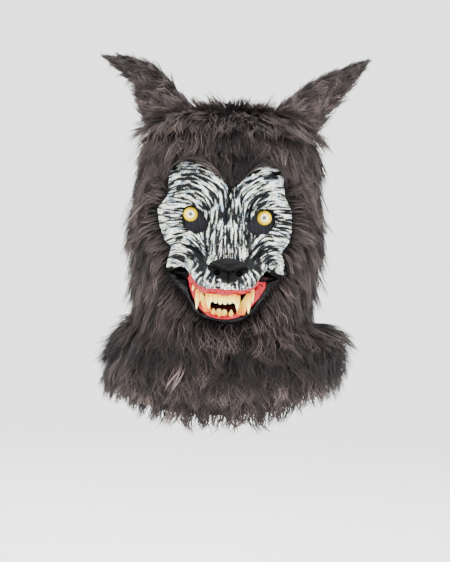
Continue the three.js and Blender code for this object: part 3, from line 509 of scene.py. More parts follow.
def ear_fur(name, count, seed):
    rng = np.random.default_rng(seed)
    roots, normals = surface_roots(name, count, rng, lambda m, n: m[:, 2] > -0.03)
    low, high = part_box(name)
    tip = np.array([low[0] if name.endswith("left") else high[0], (low[1] + high[1]) / 2, high[2]])

    def along(places, outward):
        return laid(unit(tip - places) + DOWN * 0.12, outward, 0.8)

    gone = np.linalg.norm(tip - roots, axis=1)
    length = EAR_LENGTH + EAR_MORE * np.clip(gone / 0.08, 0, 1)
    lift = np.full(len(roots), 0.3)
    piece = fur(name + "_fur", roots, normals, along, length, lift, 1.0 * MM, 9, rng, wave=0.2, droop=0.05)
    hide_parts(name)
    core = dressed(refined(name + "_cloth", name, 2.0, 4), CLOTH, "fur")


# Face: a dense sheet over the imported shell's form, in millimetres until it becomes a mesh

FACE_CENTRE = (1.5, -149.6)
FACE_GRID = 200
FACE_WALL = 1.5
FACE_SHELL = tree_of("face_shell")

# Eye openings as (x, z), and the middles and reach that they keep round the eyes
EYE_OPENINGS = {
    "left": [(-52.7, -124.6), (-52, -118.4), (-42, -113.6), (-32.5, -119.5), (-26, -128), (-19.5, -134.5),
             (-23.5, -142), (-33, -146.5), (-44, -144.5), (-51.5, -136)],
    "right": [(56.5, -122), (53.5, -114.5), (43, -113.4), (33, -120.5), (27.5, -129), (22.5, -133.5),
              (27, -142), (36, -145.5), (47, -144), (55.5, -135)],
}
EYE_MIDDLES = {"left": (-42.9, -124.1), "right": (43.9, -124.1)}
EYE_CLEAR = 10.2

# Hills and hollows: x, z, half width, half height, turn in degrees, rise
FACE_HILLS = [
    (-39, -106, 17, 4.5, -28, 4), (42, -105, 17, 4.5, 28, 4),
    (-31, -113, 10, 3.5, -35, 3.5), (34, -113, 10, 3.5, 35, 3.5),
    (-44, -80, 16, 10, -15, 2.5), (50, -80, 14, 10, 20, 2.5),
    (-38, -153, 15, 6.5, -14, 5), (46, -152, 14, 6, 16, 5),
    (-68, -134, 8, 22, 4, 2.5), (73, -130, 8, 22, -4, 2.5),
    (-50, -176, 12, 5, 24, 3), (58, -172, 13, 5, -14, 3),
    (-36, -186, 6, 13, 14, 3), (43, -184, 6, 13, -14, 3),
    (2, -124, 7, 9, 0, -4), (-10, -116, 4, 13, -14, 2), (14, -116, 4, 13, 14, 2),
    (-20, -199, 12, 9, 0, 2.5), (31, -196, 11, 9, 0, 2.5),
]

# Furrows: depth, half width, then places (x, z) along them
FACE_FURROWS = [
    (4, 2.6, [(-50, -161), (-41, -162), (-34, -166), (-29.5, -174), (-28, -184), (-29, -192)]),
    (4, 2.6, [(62, -160), (52, -159.5), (43, -164), (38.5, -172), (39, -182), (42, -190)]),
    (3, 2, [(-24, -146), (-22, -158), (-20.5, -172), (-22, -184), (-24, -196)]),
    (3, 2, [(27, -146), (27.5, -158), (28.5, -172), (30, -184), (34, -193)]),
    (2.6, 2.2, [(1, -94), (0, -108), (-1, -122), (0, -134)]),
    (1.8, 1.6, [(-11, -136), (-10, -150), (-9, -166), (-8, -176)]),
    (1.8, 1.6, [(14, -136), (14.5, -150), (15, -166), (16, -176)]),
    (1.6, 1.4, [(1, -138), (1.5, -152), (2, -170)]),
    (1.8, 1.6, [(-60, -95), (-52, -92), (-40, -96), (-28, -106), (-21, -118)]),
    (1.8, 1.6, [(66, -96), (58, -90), (46, -94), (33, -104), (24, -117)]),
    (1.6, 1.5, [(-54, -80), (-42, -78), (-30, -84), (-18, -96), (-12, -110)]),
    (1.6, 1.5, [(58, -78), (48, -76), (36, -84), (22, -94), (15, -108)]),
    (1.6, 1.4, [(50, -178), (54, -174), (60, -176), (62, -182), (57, -186), (51, -184)]),
]

# Strokes: 1 runs round a turning point and 0 away from it, then the turning point, where it holds and how far
FACE_STROKES = [
    (1, -52, -133, -36, -92, 30), (1, 58, -130, 44, -92, 30),
    (0, -22, -128, -66, -130, 19), (0, 26, -126, 72, -127, 19),
    (0, 1, -60, 2, -150, 26), (0, 1, -60, 2, -118, 16),
    (1, -58, -196, -42, -166, 20), (1, 62, -190, 50, -164, 20),
    (0, 3, -160, -24, -200, 14), (0, 5, -160, 34, -197, 14),
    (1, 56, -181, 56, -181, 9),
]

# Dark paint: x, z, half width, half height, turn in degrees, strength
FACE_DARK = [
    (-35, -134, 14, 11, -22, 0.9), (38, -133, 14, 11, 22, 0.9),
    (-53, -126, 4, 8, 0, 0.35), (56, -124, 4, 8, 0, 0.35),
    (0, -126, 15, 7, 0, 0.55), (-32, -168, 7, 8, -40, 0.5), (41, -167, 7, 8, 40, 0.5),
    (3, -190, 25, 13, 0, 0.5), (-50, -152, 12, 3, -10, 0.35), (62, -152, 8, 3, 10, 0.15),
    (2, -99, 10, 7, 0, 0.4), (2, -158, 13, 15, 0, 0.3),
]

COARSE_STROKES, FINE_STROKES = (1.4, 12), (0.85, 7)  # width and reach
RELIEF, RELIEF_MOST = 1.25, 1.4  # height of the ridges, and where their noise is cut off
FILL_PASSES, SMOOTH_PASSES = 400, 30


def closed_radius(points, middle):
    """Distance from a middle to a closed outline in each direction, smoothed a little."""
    dx, dz = (np.array(points) - middle).T
    turns, reach = np.arctan2(dz, dx), np.hypot(dx, dz)
    order = np.argsort(turns)
    at = np.concatenate([turns[order] - 2 * math.pi, turns[order], turns[order] + 2 * math.pi])
    return smooth_ring(np.interp(ring_turns(), at, np.tile(reach[order], 3)), 6)


def ring_turns():
    return np.linspace(-math.pi, math.pi, OUTLINE_TURNS, endpoint=False)


def smooth_ring(values, width):
    window = np.exp(-0.5 * (np.arange(-3 * width, 3 * width + 1) / width) ** 2)
    padded = np.concatenate([values[-3 * width:], values, values[:3 * width]])
    return np.convolve(padded, window / window.sum(), "valid")


def on_ring(ring, turn):
    return ring_at(ring, (turn + math.pi) / (2 * math.pi) * len(ring))


def face_edge():
    """Reach of the shell's outline in each direction from the face's middle."""
    reach = []
    for turn in ring_turns():
        across, up, far = math.cos(turn), math.sin(turn), 115.0
        while far > 20 and not front_hit(FACE_SHELL, (FACE_CENTRE[0] + far * across) * MM,
                                         (FACE_CENTRE[1] + far * up) * MM):
            far -= 0.4
        reach.append(far)
    return smooth_ring(np.array(reach), 1)


def depth_field(tree, x, z, back=1.0):
    """Depth of a tree at each place of a grid, filled in where a ray meets nothing in front of the limit."""
    hits = [front_hit(tree, a * MM, b * MM) for a, b in zip(x.ravel(), z.ravel())]
    depth = [np.nan if hit is None or hit.y > back else hit.y / MM for hit in hits]
    return filled(np.array(depth).reshape(x.shape))


def disc_grid(count):
    """A square grid laid over a unit disc."""
    line = np.linspace(-1, 1, count + 1)
    u, v = np.meshgrid(line, line, indexing="ij")
    wide = np.abs(u) > np.abs(v)
    safe_u, safe_v = np.where(u == 0, 1, u), np.where(v == 0, 1, v)
    radius = np.where(wide, u, v)
    turn = np.where(wide, math.pi / 4 * v / safe_u, math.pi / 2 - math.pi / 4 * u / safe_v)
    return radius * np.cos(turn), radius * np.sin(turn)


def filled(depth):
    """Depths with the gaps filled from their neighbours, then smoothed."""
    gap = np.isnan(depth)
    field = np.where(gap, np.nanmean(depth), depth)
    for _ in range(FILL_PASSES):
        field[gap] = neighbours(field)[gap]
    for _ in range(SMOOTH_PASSES):
        field[1:-1, 1:-1] = (0.4 * field + 0.6 * neighbours(field))[1:-1, 1:-1]
    return field


def neighbours(field):
    padded = np.pad(field, 1, mode="edge")
    return (padded[:-2, 1:-1] + padded[2:, 1:-1] + padded[1:-1, :-2] + padded[1:-1, 2:]) / 4


def hills(x, z, rows):
    """Sum of rounded hills, each turned about its middle."""
    total = np.zeros_like(x)
    for cx, cz, wide, tall, turn, rise in rows:
        c, s = math.cos(math.radians(turn)), math.sin(math.radians(turn))
        along, up = (x - cx) * c + (z - cz) * s, -(x - cx) * s + (z - cz) * c
        total += rise * np.exp(-(along / wide) ** 2 - (up / tall) ** 2)
    return total


def path_distance(x, z, path):
    best = np.full(x.shape, 1e3)
    for (ax, az), (bx, bz) in zip(path[:-1], path[1:]):
        ux, uz = bx - ax, bz - az
        t = np.clip(((x - ax) * ux + (z - az) * uz) / (ux * ux + uz * uz), 0, 1)
        best = np.minimum(best, np.hypot(x - ax - t * ux, z - az - t * uz))
    return best


def stroke_direction(x, z):
    """Unit direction of the modelled strokes, mixed as undirected lines."""
    c2, s2 = np.full(x.shape, 1e-6), np.zeros(x.shape)
    for around, cx, cz, ax, az, reach in FACE_STROKES:
        angle = np.arctan2(z - cz, x - cx) + around * math.pi / 2
        weight = np.exp(-((x - ax) ** 2 + (z - az) ** 2) / reach ** 2) + 1e-5
        c2 += weight * np.cos(2 * angle)
        s2 += weight * np.sin(2 * angle)
    angle = np.arctan2(s2, c2) / 2
    return np.cos(angle), np.sin(angle)


def lattice(noise, x, z, cell):
    """A random lattice read between its points."""
    size = noise.shape[0]
    u, v = (x + 200) / cell, (z + 400) / cell
    i, j = np.floor(u).astype(int), np.floor(v).astype(int)
    a, b = u - i, v - j
    a, b = a * a * (3 - 2 * a), b * b * (3 - 2 * b)
    i0, i1, j0, j1 = i % size, (i + 1) % size, j % size, (j + 1) % size
    low = noise[i0, j0] * (1 - a) + noise[i1, j0] * a
    high = noise[i0, j1] * (1 - a) + noise[i1, j1] * a
    return low * (1 - b) + high * b


def lumps(rng, x, z, cell, size=256):
    return lattice(rng.normal(0, 1, (size, size)), x, z, cell)


def strokes(x, z, cell, reach, rng):
    """Noise drawn out along the strokes' direction: about -1 in the grooves and 1 on the ridges."""
    noise = rng.normal(0, 1, (512, 512))
    total = lattice(noise, x, z, cell)
    step = cell * 0.6
    for sign in (-1, 1):
        px, pz = x.copy(), z.copy()
        lx, lz = stroke_direction(px, pz)
        lx, lz = lx * sign, lz * sign
        for k in range(1, int(reach / step) + 1):
            px, pz = px + lx * step, pz + lz * step
            dx, dz = stroke_direction(px, pz)
            same = np.sign(dx * lx + dz * lz)
            lx, lz = dx * same, dz * same
            share = 0.5 + 0.5 * math.cos(math.pi * k * step / reach)
            total += share * lattice(noise, px, pz, cell)
    return total / total.std() / 1.4


def soft_step(low, high, value):
    t = np.clip((value - low) / (high - low), 0, 1)
    return t * t * (3 - 2 * t)


def face_normals(points):
    along = np.gradient(points, axis=0)
    across = np.gradient(points, axis=1)
    normals = unit(np.cross(along, across))
    return normals * -np.sign(normals[..., 1:2])


def walled(points, faces, inward, wall):
    """A sheet of quads given a wall on its inner side, closed round every edge."""
    edges = np.concatenate([faces[:, [i, (i + 1) % 4]] for i in range(4)])
    _, first, count = np.unique(np.sort(edges, axis=1), axis=0, return_index=True, return_counts=True)
    rim = edges[first[count == 1]]
    total = len(points)
    sides = np.column_stack([rim[:, 1], rim[:, 0], rim[:, 0] + total, rim[:, 1] + total])
    faces = np.concatenate([faces, faces[:, ::-1] + total, sides])
    return np.concatenate([points, points + inward * wall]), faces


def face_sheet():
    """Grid of the face's points with its ridge and dark values, and the quads left by the eye openings."""
    rng = np.random.default_rng(31)
    u, v = disc_grid(FACE_GRID)
    turn = np.arctan2(v, u)
    raised = 1 - 0.05 * np.exp(-((turn + math.pi / 2) / 0.5) ** 2)
    reach = np.hypot(u, v) * on_ring(face_edge(), turn) * raised
    x, z = FACE_CENTRE[0] + reach * np.cos(turn), FACE_CENTRE[1] + reach * np.sin(turn)
    depth = depth_field(FACE_SHELL, x, z)
    share = np.hypot(u, v)
    inside = soft_step(1.0, 0.93, share)
    coarse = strokes(x, z, *COARSE_STROKES, rng)
    fine = strokes(x, z, *FINE_STROKES, rng)
    blotch = lumps(rng, x, z, 2.2, 512)
    muzzle = np.exp(-((x - 5) / 30) ** 2 - ((z + 206) / 13) ** 2)
    ridge = (0.58 * coarse + 0.62 * fine) * (1 - 0.6 * muzzle) + 0.5 * blotch * muzzle
    rise = hills(x, z, FACE_HILLS) + RELIEF * np.clip(ridge, -RELIEF_MOST, RELIEF_MOST) * (1 - 0.6 * muzzle)
    furrow = np.zeros_like(x)
    for deep, wide, path in FACE_FURROWS:
        cut = np.exp(-(path_distance(x, z, path) / wide) ** 2)
        rise -= deep * cut
        furrow = np.maximum(furrow, cut * min(1, deep / 2.6))
    base = np.stack([x, depth, z], axis=-1)
    normals = face_normals(base)
    points = base + normals * (rise * inside)[..., None]
    dark = np.clip(hills(x, z, FACE_DARK), 0, 1)
    fields = {"ridge": ridge, "dark": dark, "furrow": furrow}
    flat, faces = points.reshape(-1, 3), grid_faces(x.shape)
    for side in EYE_OPENINGS:
        flat, faces = cut_opening(flat, faces, side)
    return flat, face_normals(points).reshape(-1, 3), faces, fields


def cut_opening(points, faces, side):
    """Drops the quads inside an eye opening and draws the rest out to its edge."""
    middle = EYE_MIDDLES[side]
    ring = np.maximum(closed_radius(EYE_OPENINGS[side], middle), EYE_CLEAR)
    dx, dz = points[:, 0] - middle[0], points[:, 2] - middle[1]
    turn, radius = np.arctan2(dz, dx), np.hypot(dx, dz)
    edge = on_ring(ring, turn)
    inner = radius < edge
    faces = faces[~inner[faces].all(axis=1)]
    points = points.copy()
    points[inner, 0] = middle[0] + (edge * np.cos(turn))[inner]
    points[inner, 2] = middle[1] + (edge * np.sin(turn))[inner]
    return points, faces


def face_paint():
    m = Nodes("face_paint")
    ridge = m.attribute("ridge")
    speck = m.wobble(620, 3, 0.6)
    height = m.math("ADD", m.times(ridge, 0.46), 0.47)
    parts = (speck, 0.9), (m.wobble(70), 0.25), (m.attribute("furrow"), -0.55), (m.attribute("dark"), -0.75)
    for value, share in parts:
        height = m.math("ADD", height, m.times(value, share))
    light = m.ramp(m.noise(110, 2, 0.5), [
        (0.35, (142, 168, 178)),
        (0.46, (240, 246, 248)),
        (0.55, (250, 248, 226)),
        (0.67, (146, 170, 164)),
    ])
    greys = [(0.3, 0), (0.38, 70), (0.47, 165), (0.66, 255)]
    grey = m.add("ShaderNodeRGBToBW")
    m.feed(m.ramp(height, [(place, (value, value, value)) for place, value in greys]), grey.inputs["Color"])
    m.colour(m.mix(grey.outputs["Val"], srgb(5, 7, 11), light))
    m.bump(m.math("ADD", speck, m.times(ridge, 0.35)), 0.0016, 0.8)
    m.finish(0.4, 0.16)
    return m.material


def face_piece():
    points, normals, faces, fields = face_sheet()
    used, compact = np.unique(faces, return_inverse=True)
    faces = compact.reshape(faces.shape)
    points, normals = points[used], normals[used]
    points, faces = walled(points * MM, faces, -normals, FACE_WALL * MM)
    face = mesh_object("face", points, faces)
    for name, values in fields.items():
        float_attribute(face, name, np.tile(values.ravel()[used], 2))
    dressed(face, face_paint(), "face_paint", "face_shell")


def dressed(obj, material, slot, *nodes):
    """A piece with its material, riding on the mask and standing for its nodes."""
    obj.data.materials.clear()
    obj.data.materials.append(material)
    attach(obj, BODY)
    if nodes:
        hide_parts(*nodes)
    return obj


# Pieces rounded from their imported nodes


def refined(name, node, voxel, passes):
    """A finely meshed, rounded copy of a node."""
    obj = linked(name, NODES[node].data.copy())
    remesh = obj.modifiers.new("remesh", "REMESH")
    remesh.mode = "VOXEL"
    remesh.voxel_size = voxel * MM
    return settled(obj, passes)


def softened(name, node, levels, passes):
    """A copy of a node with its facets divided and rounded."""
    obj = linked(name, NODES[node].data.copy())
    obj.modifiers.new("weld", "WELD").merge_threshold = 0.01 * MM
    divide = obj.modifiers.new("divide", "SUBSURF")
    divide.subdivision_type = "SIMPLE"
    divide.levels = divide.render_levels = levels
    return settled(obj, passes)


def settled(obj, passes):
    smooth = obj.modifiers.new("smooth", "SMOOTH")
    smooth.factor = 0.5
    smooth.iterations = passes
    shaped = obj.evaluated_get(bpy.context.evaluated_depsgraph_get())
    mesh = bpy.data.meshes.new_from_object(shaped)
    obj.modifiers.clear()
    obj.data = mesh
    mesh.shade_smooth()
    return obj


def positions(obj):
    return triples(obj.data.vertices, "co")


def vertex_normals(obj):
    return triples(obj.data.vertex_normals, "vector")


def place_points(obj, points):
    obj.data.vertices.foreach_set("co", points.ravel())
    obj.data.update()


# Nose

NOSE_MIDDLE = 5.2
NOSTRILS = [(-6, -193.5, 5.5, 2.1, -14, 0.7), (16.5, -193, 5.5, 2.1, 14, 0.7)]  # in the form of the hills
CREASE_LOW, CREASE_RISE = -191.5, 6.0  # height of the fold at the middle and its rise to the sides


def nose_material():
    m = Nodes("nose_gloss")
    grain = m.noise(1500, 2)
    m.colour(m.ramp(grain, [(0.3, (1, 1, 2)), (0.7, (5, 5, 7))]))
    m.bump(grain, 0.0005, 0.6)
    m.finish(m.math("SUBTRACT", 0.6, m.times(m.attribute("shine"), 0.4)), 0.06)
    return m.material


def nose_piece():
    nose = refined("nose_pad", "nose", 0.7, 9)
    points = positions(nose) / MM
    normals = vertex_normals(nose)
    across, z = points[:, 0] - NOSE_MIDDLE, points[:, 2]
    front = soft_step(0.1, 0.6, -normals[:, 1])
    fold = CREASE_LOW + CREASE_RISE * np.clip(abs(across) / 18, 0, 1.2)
    rise = 1.8 * np.exp(-((z - fold - 2.2) / 2.2) ** 2) * front
    rise -= 2.4 * np.exp(-((z - fold) / 1.2) ** 2) * front
    rise -= 2.0 * np.exp(-(across / 1.2) ** 2) * (z < fold)
    rise -= hills(points[:, 0], z, NOSTRILS) * front
    points[:, 0] = NOSE_MIDDLE + across * (1 - 0.34 * soft_step(-189, -203, z))
    place_points(nose, (points + normals * rise[:, None]) * MM)
    float_attribute(nose, "shine", np.exp(-((z - fold - 0.9) / 1.0) ** 2) + 0.3 * soft_step(-187, -190, z))
    dressed(nose, nose_material(), "nose_gloss", "nose")


# Eyes and sight gauze


def eye_material():
    m = Nodes("eye")
    m.colour(m.ramp(m.math("ADD", m.attribute("out"), m.times(m.wobble(500, 2), 0.06)), [
        (0.0, (255, 255, 250)),
        (0.34, (255, 250, 225)),
        (0.52, (244, 212, 40)),
        (0.86, (232, 196, 10)),
        (0.97, (60, 42, 8)),
    ]))
    m.finish(0.2, 0.35)
    return m.material


def pupil_material():
    m = Nodes("pupil")
    m.colour(m.ramp(m.noise(900, 1), [(0.3, (40, 44, 48)), (0.7, (74, 82, 88))]))
    m.finish(0.12, 0.7, coat=0.6)
    return m.material


def dome_mesh(name, middle, radius, front, back, rings=20, sides=48):
    """A dome facing the front, from its foremost place back to its flat side."""
    points = [(middle[0], front, middle[1])]
    for i in range(1, rings + 1):
        turn = i / rings * math.pi / 2
        reach, y = radius * math.sin(turn), front + (back - front) * (1 - math.cos(turn)) * 0.9
        points += [(middle[0] + reach * math.cos(a), y, middle[1] + reach * math.sin(a))
                   for a in np.linspace(0, 2 * math.pi, sides, endpoint=False)]
    last = 1 + (rings - 1) * sides
    points += [(p[0], back, p[2]) for p in points[last:]] + [(middle[0], back, middle[1])]
    faces = [(0, 1 + (j + 1) % sides, 1 + j) for j in range(sides)] + tube_faces(rings, sides, 1)
    end = 1 + (rings + 1) * sides
    faces += [(end, end - sides + j, end - sides + (j + 1) % sides) for j in range(sides)]
    dome = mesh_object(name, np.array(points) * MM, np.array(faces))
    float_attribute(dome, "out", [math.hypot(p[0] - middle[0], p[2] - middle[1]) / radius for p in points])
    return dome


def eye_pieces(side):
    low, high = (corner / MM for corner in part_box("eye_" + side))
    middle = ((low.x + high.x) / 2, (low.z + high.z) / 2)
    radius = (high.x - low.x) / 2
    eye = dome_mesh("eyeball_" + side, middle, radius, low.y, high.y - 0.4)
    dressed(eye, EYE, "eye", "eye_" + side)
    pupil_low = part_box("pupil_" + side)[0] / MM
    pupil = dome_mesh("pupil_dome_" + side, middle, 2.5, pupil_low.y, low.y + 0.6, 8, 32)
    dressed(pupil, PUPIL, "pupil", "pupil_" + side)


def gauze_material():
    m = Nodes("gauze")
    bands = {"Scale": 190.0, "Distortion": 1.0, "Detail": 1.0}
    weave = m.add("ShaderNodeTexWave", bands, wave_type="BANDS", bands_direction="X")
    m.mapped(weave)
    m.colour(m.ramp(weave.outputs["Fac"], [(0.2, (8, 8, 10)), (0.85, (48, 47, 54))]))
    m.bump(weave.outputs["Fac"], 0.0004)
    m.finish(0.9, 0.15)
    return m.material


def gauze_piece(side):
    gauze = refined("gauze_" + side, "eye_mesh_" + side, 0.7, 2)
    dressed(gauze, GAUZE, "gauze", "eye_mesh_" + side)


# Mouth

# Edges of the gums, as places (x, z) from left to right
LOWER_GUM_OUTER = [
    (-43, -199), (-41.2, -205), (-38.7, -213.7), (-33.3, -225.6), (-26.8, -234.7), (-16.9, -242.6),
    (-3.2, -245.8), (8.9, -245.8), (20.8, -242), (29.8, -235), (38.7, -224.5), (45.6, -214.7),
    (50.1, -206.4), (50.2, -199.6),
]
LOWER_GUM_INNER = [
    (-36, -199), (-34.6, -205), (-31.9, -213.7), (-27.6, -222.6), (-22.3, -232.4), (-13.2, -239.4),
    (-2.5, -240.8), (8.2, -240.4), (17.6, -237.4), (25, -229.6), (30.4, -222.5), (33.4, -215.6),
    (35.8, -208), (38, -200),
]
UPPER_GUM_EDGE = [
    (-41, -207), (-34.5, -211), (-29, -215.9), (-18.2, -217.2), (-4.7, -217.6), (8.7, -217.4),
    (22, -215.3), (32.6, -211.5), (40, -205),
]
GUM_ROLL, GUM_WALL = 2.4, 4
JAW_BACK = -0.105  # what a ray meets behind this isn't the jaw


def gum_material():
    m = Nodes("gum")
    place = m.noise(240)
    skin = m.ramp(place, [(0.3, (112, 2, 12)), (0.5, (156, 5, 24)), (0.7, (184, 30, 48))])
    m.colour(m.mix(m.attribute("deep"), skin, srgb(96, 12, 20)))
    m.bump(place, 0.0016, 0.8)
    m.finish(0.25, 0.3)
    return m.material


def along_curve(places, count):
    """Evenly spaced points on a rounded line through places."""
    places = np.array(places, dtype=float)
    gone = np.concatenate([[0], np.cumsum(np.linalg.norm(np.diff(places, axis=0), axis=1))])
    at = np.linspace(0, gone[-1], count)
    line = np.stack([np.interp(at, gone, places[:, i]) for i in (0, 1)], axis=1)
    for _ in range(12):
        line[1:-1] = (line[:-2] + 2 * line[1:-1] + line[2:]) / 4
    return line


def lower_gum_piece():
    """A rounded ribbon of gum round the lower jaw."""
    columns, rows = 150, 18
    outer, inner = along_curve(LOWER_GUM_OUTER, columns), along_curve(LOWER_GUM_INNER, columns)
    share = np.linspace(0, 1, rows)
    flat = outer[:, None] * (1 - share)[None, :, None] + inner[:, None] * share[None, :, None]
    x, z = flat[..., 0], flat[..., 1]
    depth = depth_field(tree_of("jaw_lip", "lower_gum"), x, z, JAW_BACK)
    rng = np.random.default_rng(41)
    bumps = lumps(rng, x, z, 5.0) * 0.35 + lumps(rng, x, z, 2.0) * 0.15
    roll = np.sqrt(np.clip(1 - (2 * share - 1) ** 2, 0, 1))[None] * GUM_ROLL
    points = np.stack([x, depth + 0.6 - roll - bumps * (roll > 0.5), z], axis=-1)
    inward = np.array([0.0, 1.0, 0.0])
    solid, faces = walled(points.reshape(-1, 3) * MM, grid_faces(x.shape), inward, GUM_WALL * MM)
    gum = mesh_object("lower_gum_ribbon", solid, faces)
    float_attribute(gum, "deep", np.tile(soft_step(0.75, 1.0, share), 2 * columns) * 0.7)
    dressed(gum, GUM, "gum", "lower_gum")


def upper_gum_piece():
    gum = refined("upper_gum_band", "upper_gum", 0.9, 5)
    points = positions(gum) / MM
    edge = np.interp(points[:, 0], *np.transpose(UPPER_GUM_EDGE))
    hang = np.clip(edge - points[:, 2], 0, None)
    points[:, 2] += 0.8 * hang
    bumps = lumps(np.random.default_rng(42), points[:, 0], points[:, 2], 4.0) * 0.4
    place_points(gum, (points + vertex_normals(gum) * bumps[:, None]) * MM)
    float_attribute(gum, "deep", np.zeros(len(points)))
    dressed(gum, GUM, "gum", "upper_gum")


def lip_material():
    m = Nodes("black_lip")
    grain = m.noise(260)
    m.colour(m.ramp(grain, [(0.35, (2, 2, 3)), (0.7, (8, 8, 9))]))
    m.bump(grain, 0.002, 0.8)
    m.finish(0.16, 0.12)
    return m.material


def height_above(x, z, line):
    """How far places lie above a line that runs from left to right below them."""
    line = np.array(line)[1:-1]
    return z - np.interp(x, line[:, 0], line[:, 1], left=1e3, right=1e3)


def jaw_lip_piece():
    lip = refined("lip_roll", "jaw_lip", 1.1, 4)
    points = positions(lip) / MM
    x, z = points[:, 0], points[:, 2]
    bumps = lumps(np.random.default_rng(43), x, z, 7.0) * 0.7
    bumps -= 1.2 * (height_above(x, z, LOWER_GUM_OUTER) > 0)
    place_points(lip, (points + vertex_normals(lip) * bumps[:, None]) * MM)
    dressed(lip, lip_material(), "black_lip", "jaw_lip")


def liner_material():
    m = Nodes("mouth_liner")
    m.colour(m.ramp(m.attribute("flesh"), [(0.0, (3, 3, 4)), (0.35, (10, 5, 7)), (1.0, (110, 22, 30))]))
    m.finish(0.4, 0.15)
    return m.material


def liner_piece():
    liner = refined("liner", "mouth_liner", 2.0, 2)
    points = positions(liner) / MM
    x, z = points[:, 0], points[:, 2]
    flesh = soft_step(-227, -233, z) * (abs(x - 2) < 26) + hills(x, z, [(50, -193, 6, 4, 40, 0.8)])
    float_attribute(liner, "flesh", flesh)
    dressed(liner, liner_material(), "black_lip", "mouth_liner")


# Teeth

TEETH = {
    "upper": ["side_tooth_left", "outer_fang_left", "upper_canine_left"]
    + ["upper_incisor_%d" % n for n in range(1, 7)]
    + ["upper_canine_right", "outer_fang_right", "side_tooth_right"],
    "lower": ["lower_canine_left"] + ["lower_incisor_%d" % n for n in range(1, 5)] + ["lower_canine_right"],
}

# What each tooth changes: root moved across and up, tip moved across and up, and the width as a share
TOOTH_CHANGES = {
    "side_tooth_left": (6, -2.4, 6.5, -2.4, 1.3),
    "outer_fang_left": (2, -3, 3, -4, 1.35),
    "upper_canine_left": (3, -2, 4, 0, 1.5),
    "upper_canine_right": (-3, -1.5, -2, 0, 1.4),
    "outer_fang_right": (0, -4, -1.5, -5, 1.2),
    "side_tooth_right": (-5.5, -6, -5, -10.5, 1.2),
    "lower_canine_left": (8, -6.5, -3, -1, 2.1),
    "lower_canine_right": (-3, -5, 4.5, 0, 2.3),
    "lower_incisor_1": (5.6, -7, 5.8, -7, 1.7),
    "lower_incisor_2": (3.8, -7, 3.8, -6.5, 1.35),
    "lower_incisor_3": (1.4, -7, 1.4, -6, 1.35),
    "lower_incisor_4": (0.6, -7, 0.2, -6, 1.6),
}
INCISOR_CHANGE = (0, 0, 0, 0.4, 1.62)
INCISOR_ROOT = 1.0  # above the lower edge of the gum
LOWER_FORWARD, CANINE_FORWARD = 5.0, 9.0  # how far the lower teeth stand before their packed ones
TOOTH_RINGS, TOOTH_SIDES = 18, 20
TOOTH_BEND = 1.4  # how far a pointed tooth's tip curves forward


def tooth_material(name, root, middle, tip):
    m = Nodes(name)
    along = m.math("ADD", m.attribute("along"), m.times(m.wobble(420), 0.5))
    m.colour(m.ramp(along, [(0.0, root), (0.35, middle), (0.7, tip), (1.0, (250, 238, 160))]))
    m.bump(m.noise(900, 2, stretch=(1, 1, 0.15)), 0.0006, 0.5)
    m.finish(0.25, 0.3)
    return m.material


def tooth_piece(name, row):
    """A smooth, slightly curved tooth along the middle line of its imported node."""
    points = positions(NODES[name]) / MM
    down = -1 if row == "upper" else 1
    order = points[:, 2] * down
    low, high = order.min(), order.max()
    root = points[order < low + 0.3 * (high - low)].mean(axis=0)
    tip = points[order > high - 0.1 * (high - low)].mean(axis=0)
    root[2], tip[2] = (low + (0.5 if row == "upper" else -1.0)) * down, high * down
    size = points.max(axis=0) - points.min(axis=0)
    half = np.array([size[0] - abs(tip[0] - root[0]) * 0.6, size[1]]) / 2
    change = TOOTH_CHANGES.get(name, INCISOR_CHANGE)
    half *= (change[4], 1.25)
    for end, across, up in ((root, change[0], change[1]), (tip, change[2], change[3])):
        end += (across, 0, up)
        if row == "lower":
            end[1] -= CANINE_FORWARD if "canine" in name else LOWER_FORWARD
    if name.startswith("upper_incisor"):
        root[2] = np.interp(root[0], *np.transpose(UPPER_GUM_EDGE)) + INCISOR_ROOT
    blunt = "incisor" in name and name not in ("lower_incisor_1", "lower_incisor_4")
    made = []
    for i in range(TOOTH_RINGS + 1):
        t = i / TOOTH_RINGS
        centre = root + (tip - root) * t + np.array([0, -TOOTH_BEND * t * t * (not blunt), 0])
        across, deep = half * tooth_section(t, blunt)
        for a in np.linspace(0, 2 * math.pi, TOOTH_SIDES, endpoint=False):
            rib = 1 + 0.04 * math.cos(5 * a)
            made.append(centre + np.array([across * rib * math.cos(a), deep * rib * math.sin(a), 0]))
    end = len(made)
    made += [tip + np.array([0, -TOOTH_BEND * (not blunt), 0]), root]
    faces = tube_faces(TOOTH_RINGS, TOOTH_SIDES)
    for j in range(TOOTH_SIDES):
        k = (j + 1) % TOOTH_SIDES
        faces += [(end - TOOTH_SIDES + j, end - TOOTH_SIDES + k, end), (k, j, end + 1)]
    if row == "upper":
        faces = [face[::-1] for face in faces]
    piece = mesh_object(name + "_enamel", np.array(made) * MM, np.array(faces))
    share = np.append(np.repeat(np.linspace(0, 1, TOOTH_RINGS + 1), TOOTH_SIDES), [1.0, 0.0])
    float_attribute(piece, "along", share)
    dressed(piece, WARM_TOOTH if row == "lower" else TOOTH, "tooth", name)


def tooth_section(t, blunt):
    """Half width and half depth of a tooth as shares, from root to tip."""
    if blunt:
        wide = (1 - 0.25 * t) * (1 - t ** 9) ** 0.5
        return np.array([wide, wide * (1 - 0.55 * t)])
    wide = (1 - t ** 1.7) ** 0.85 * (1 + 0.12 * math.sin(math.pi * t))
    return np.array([wide, wide])


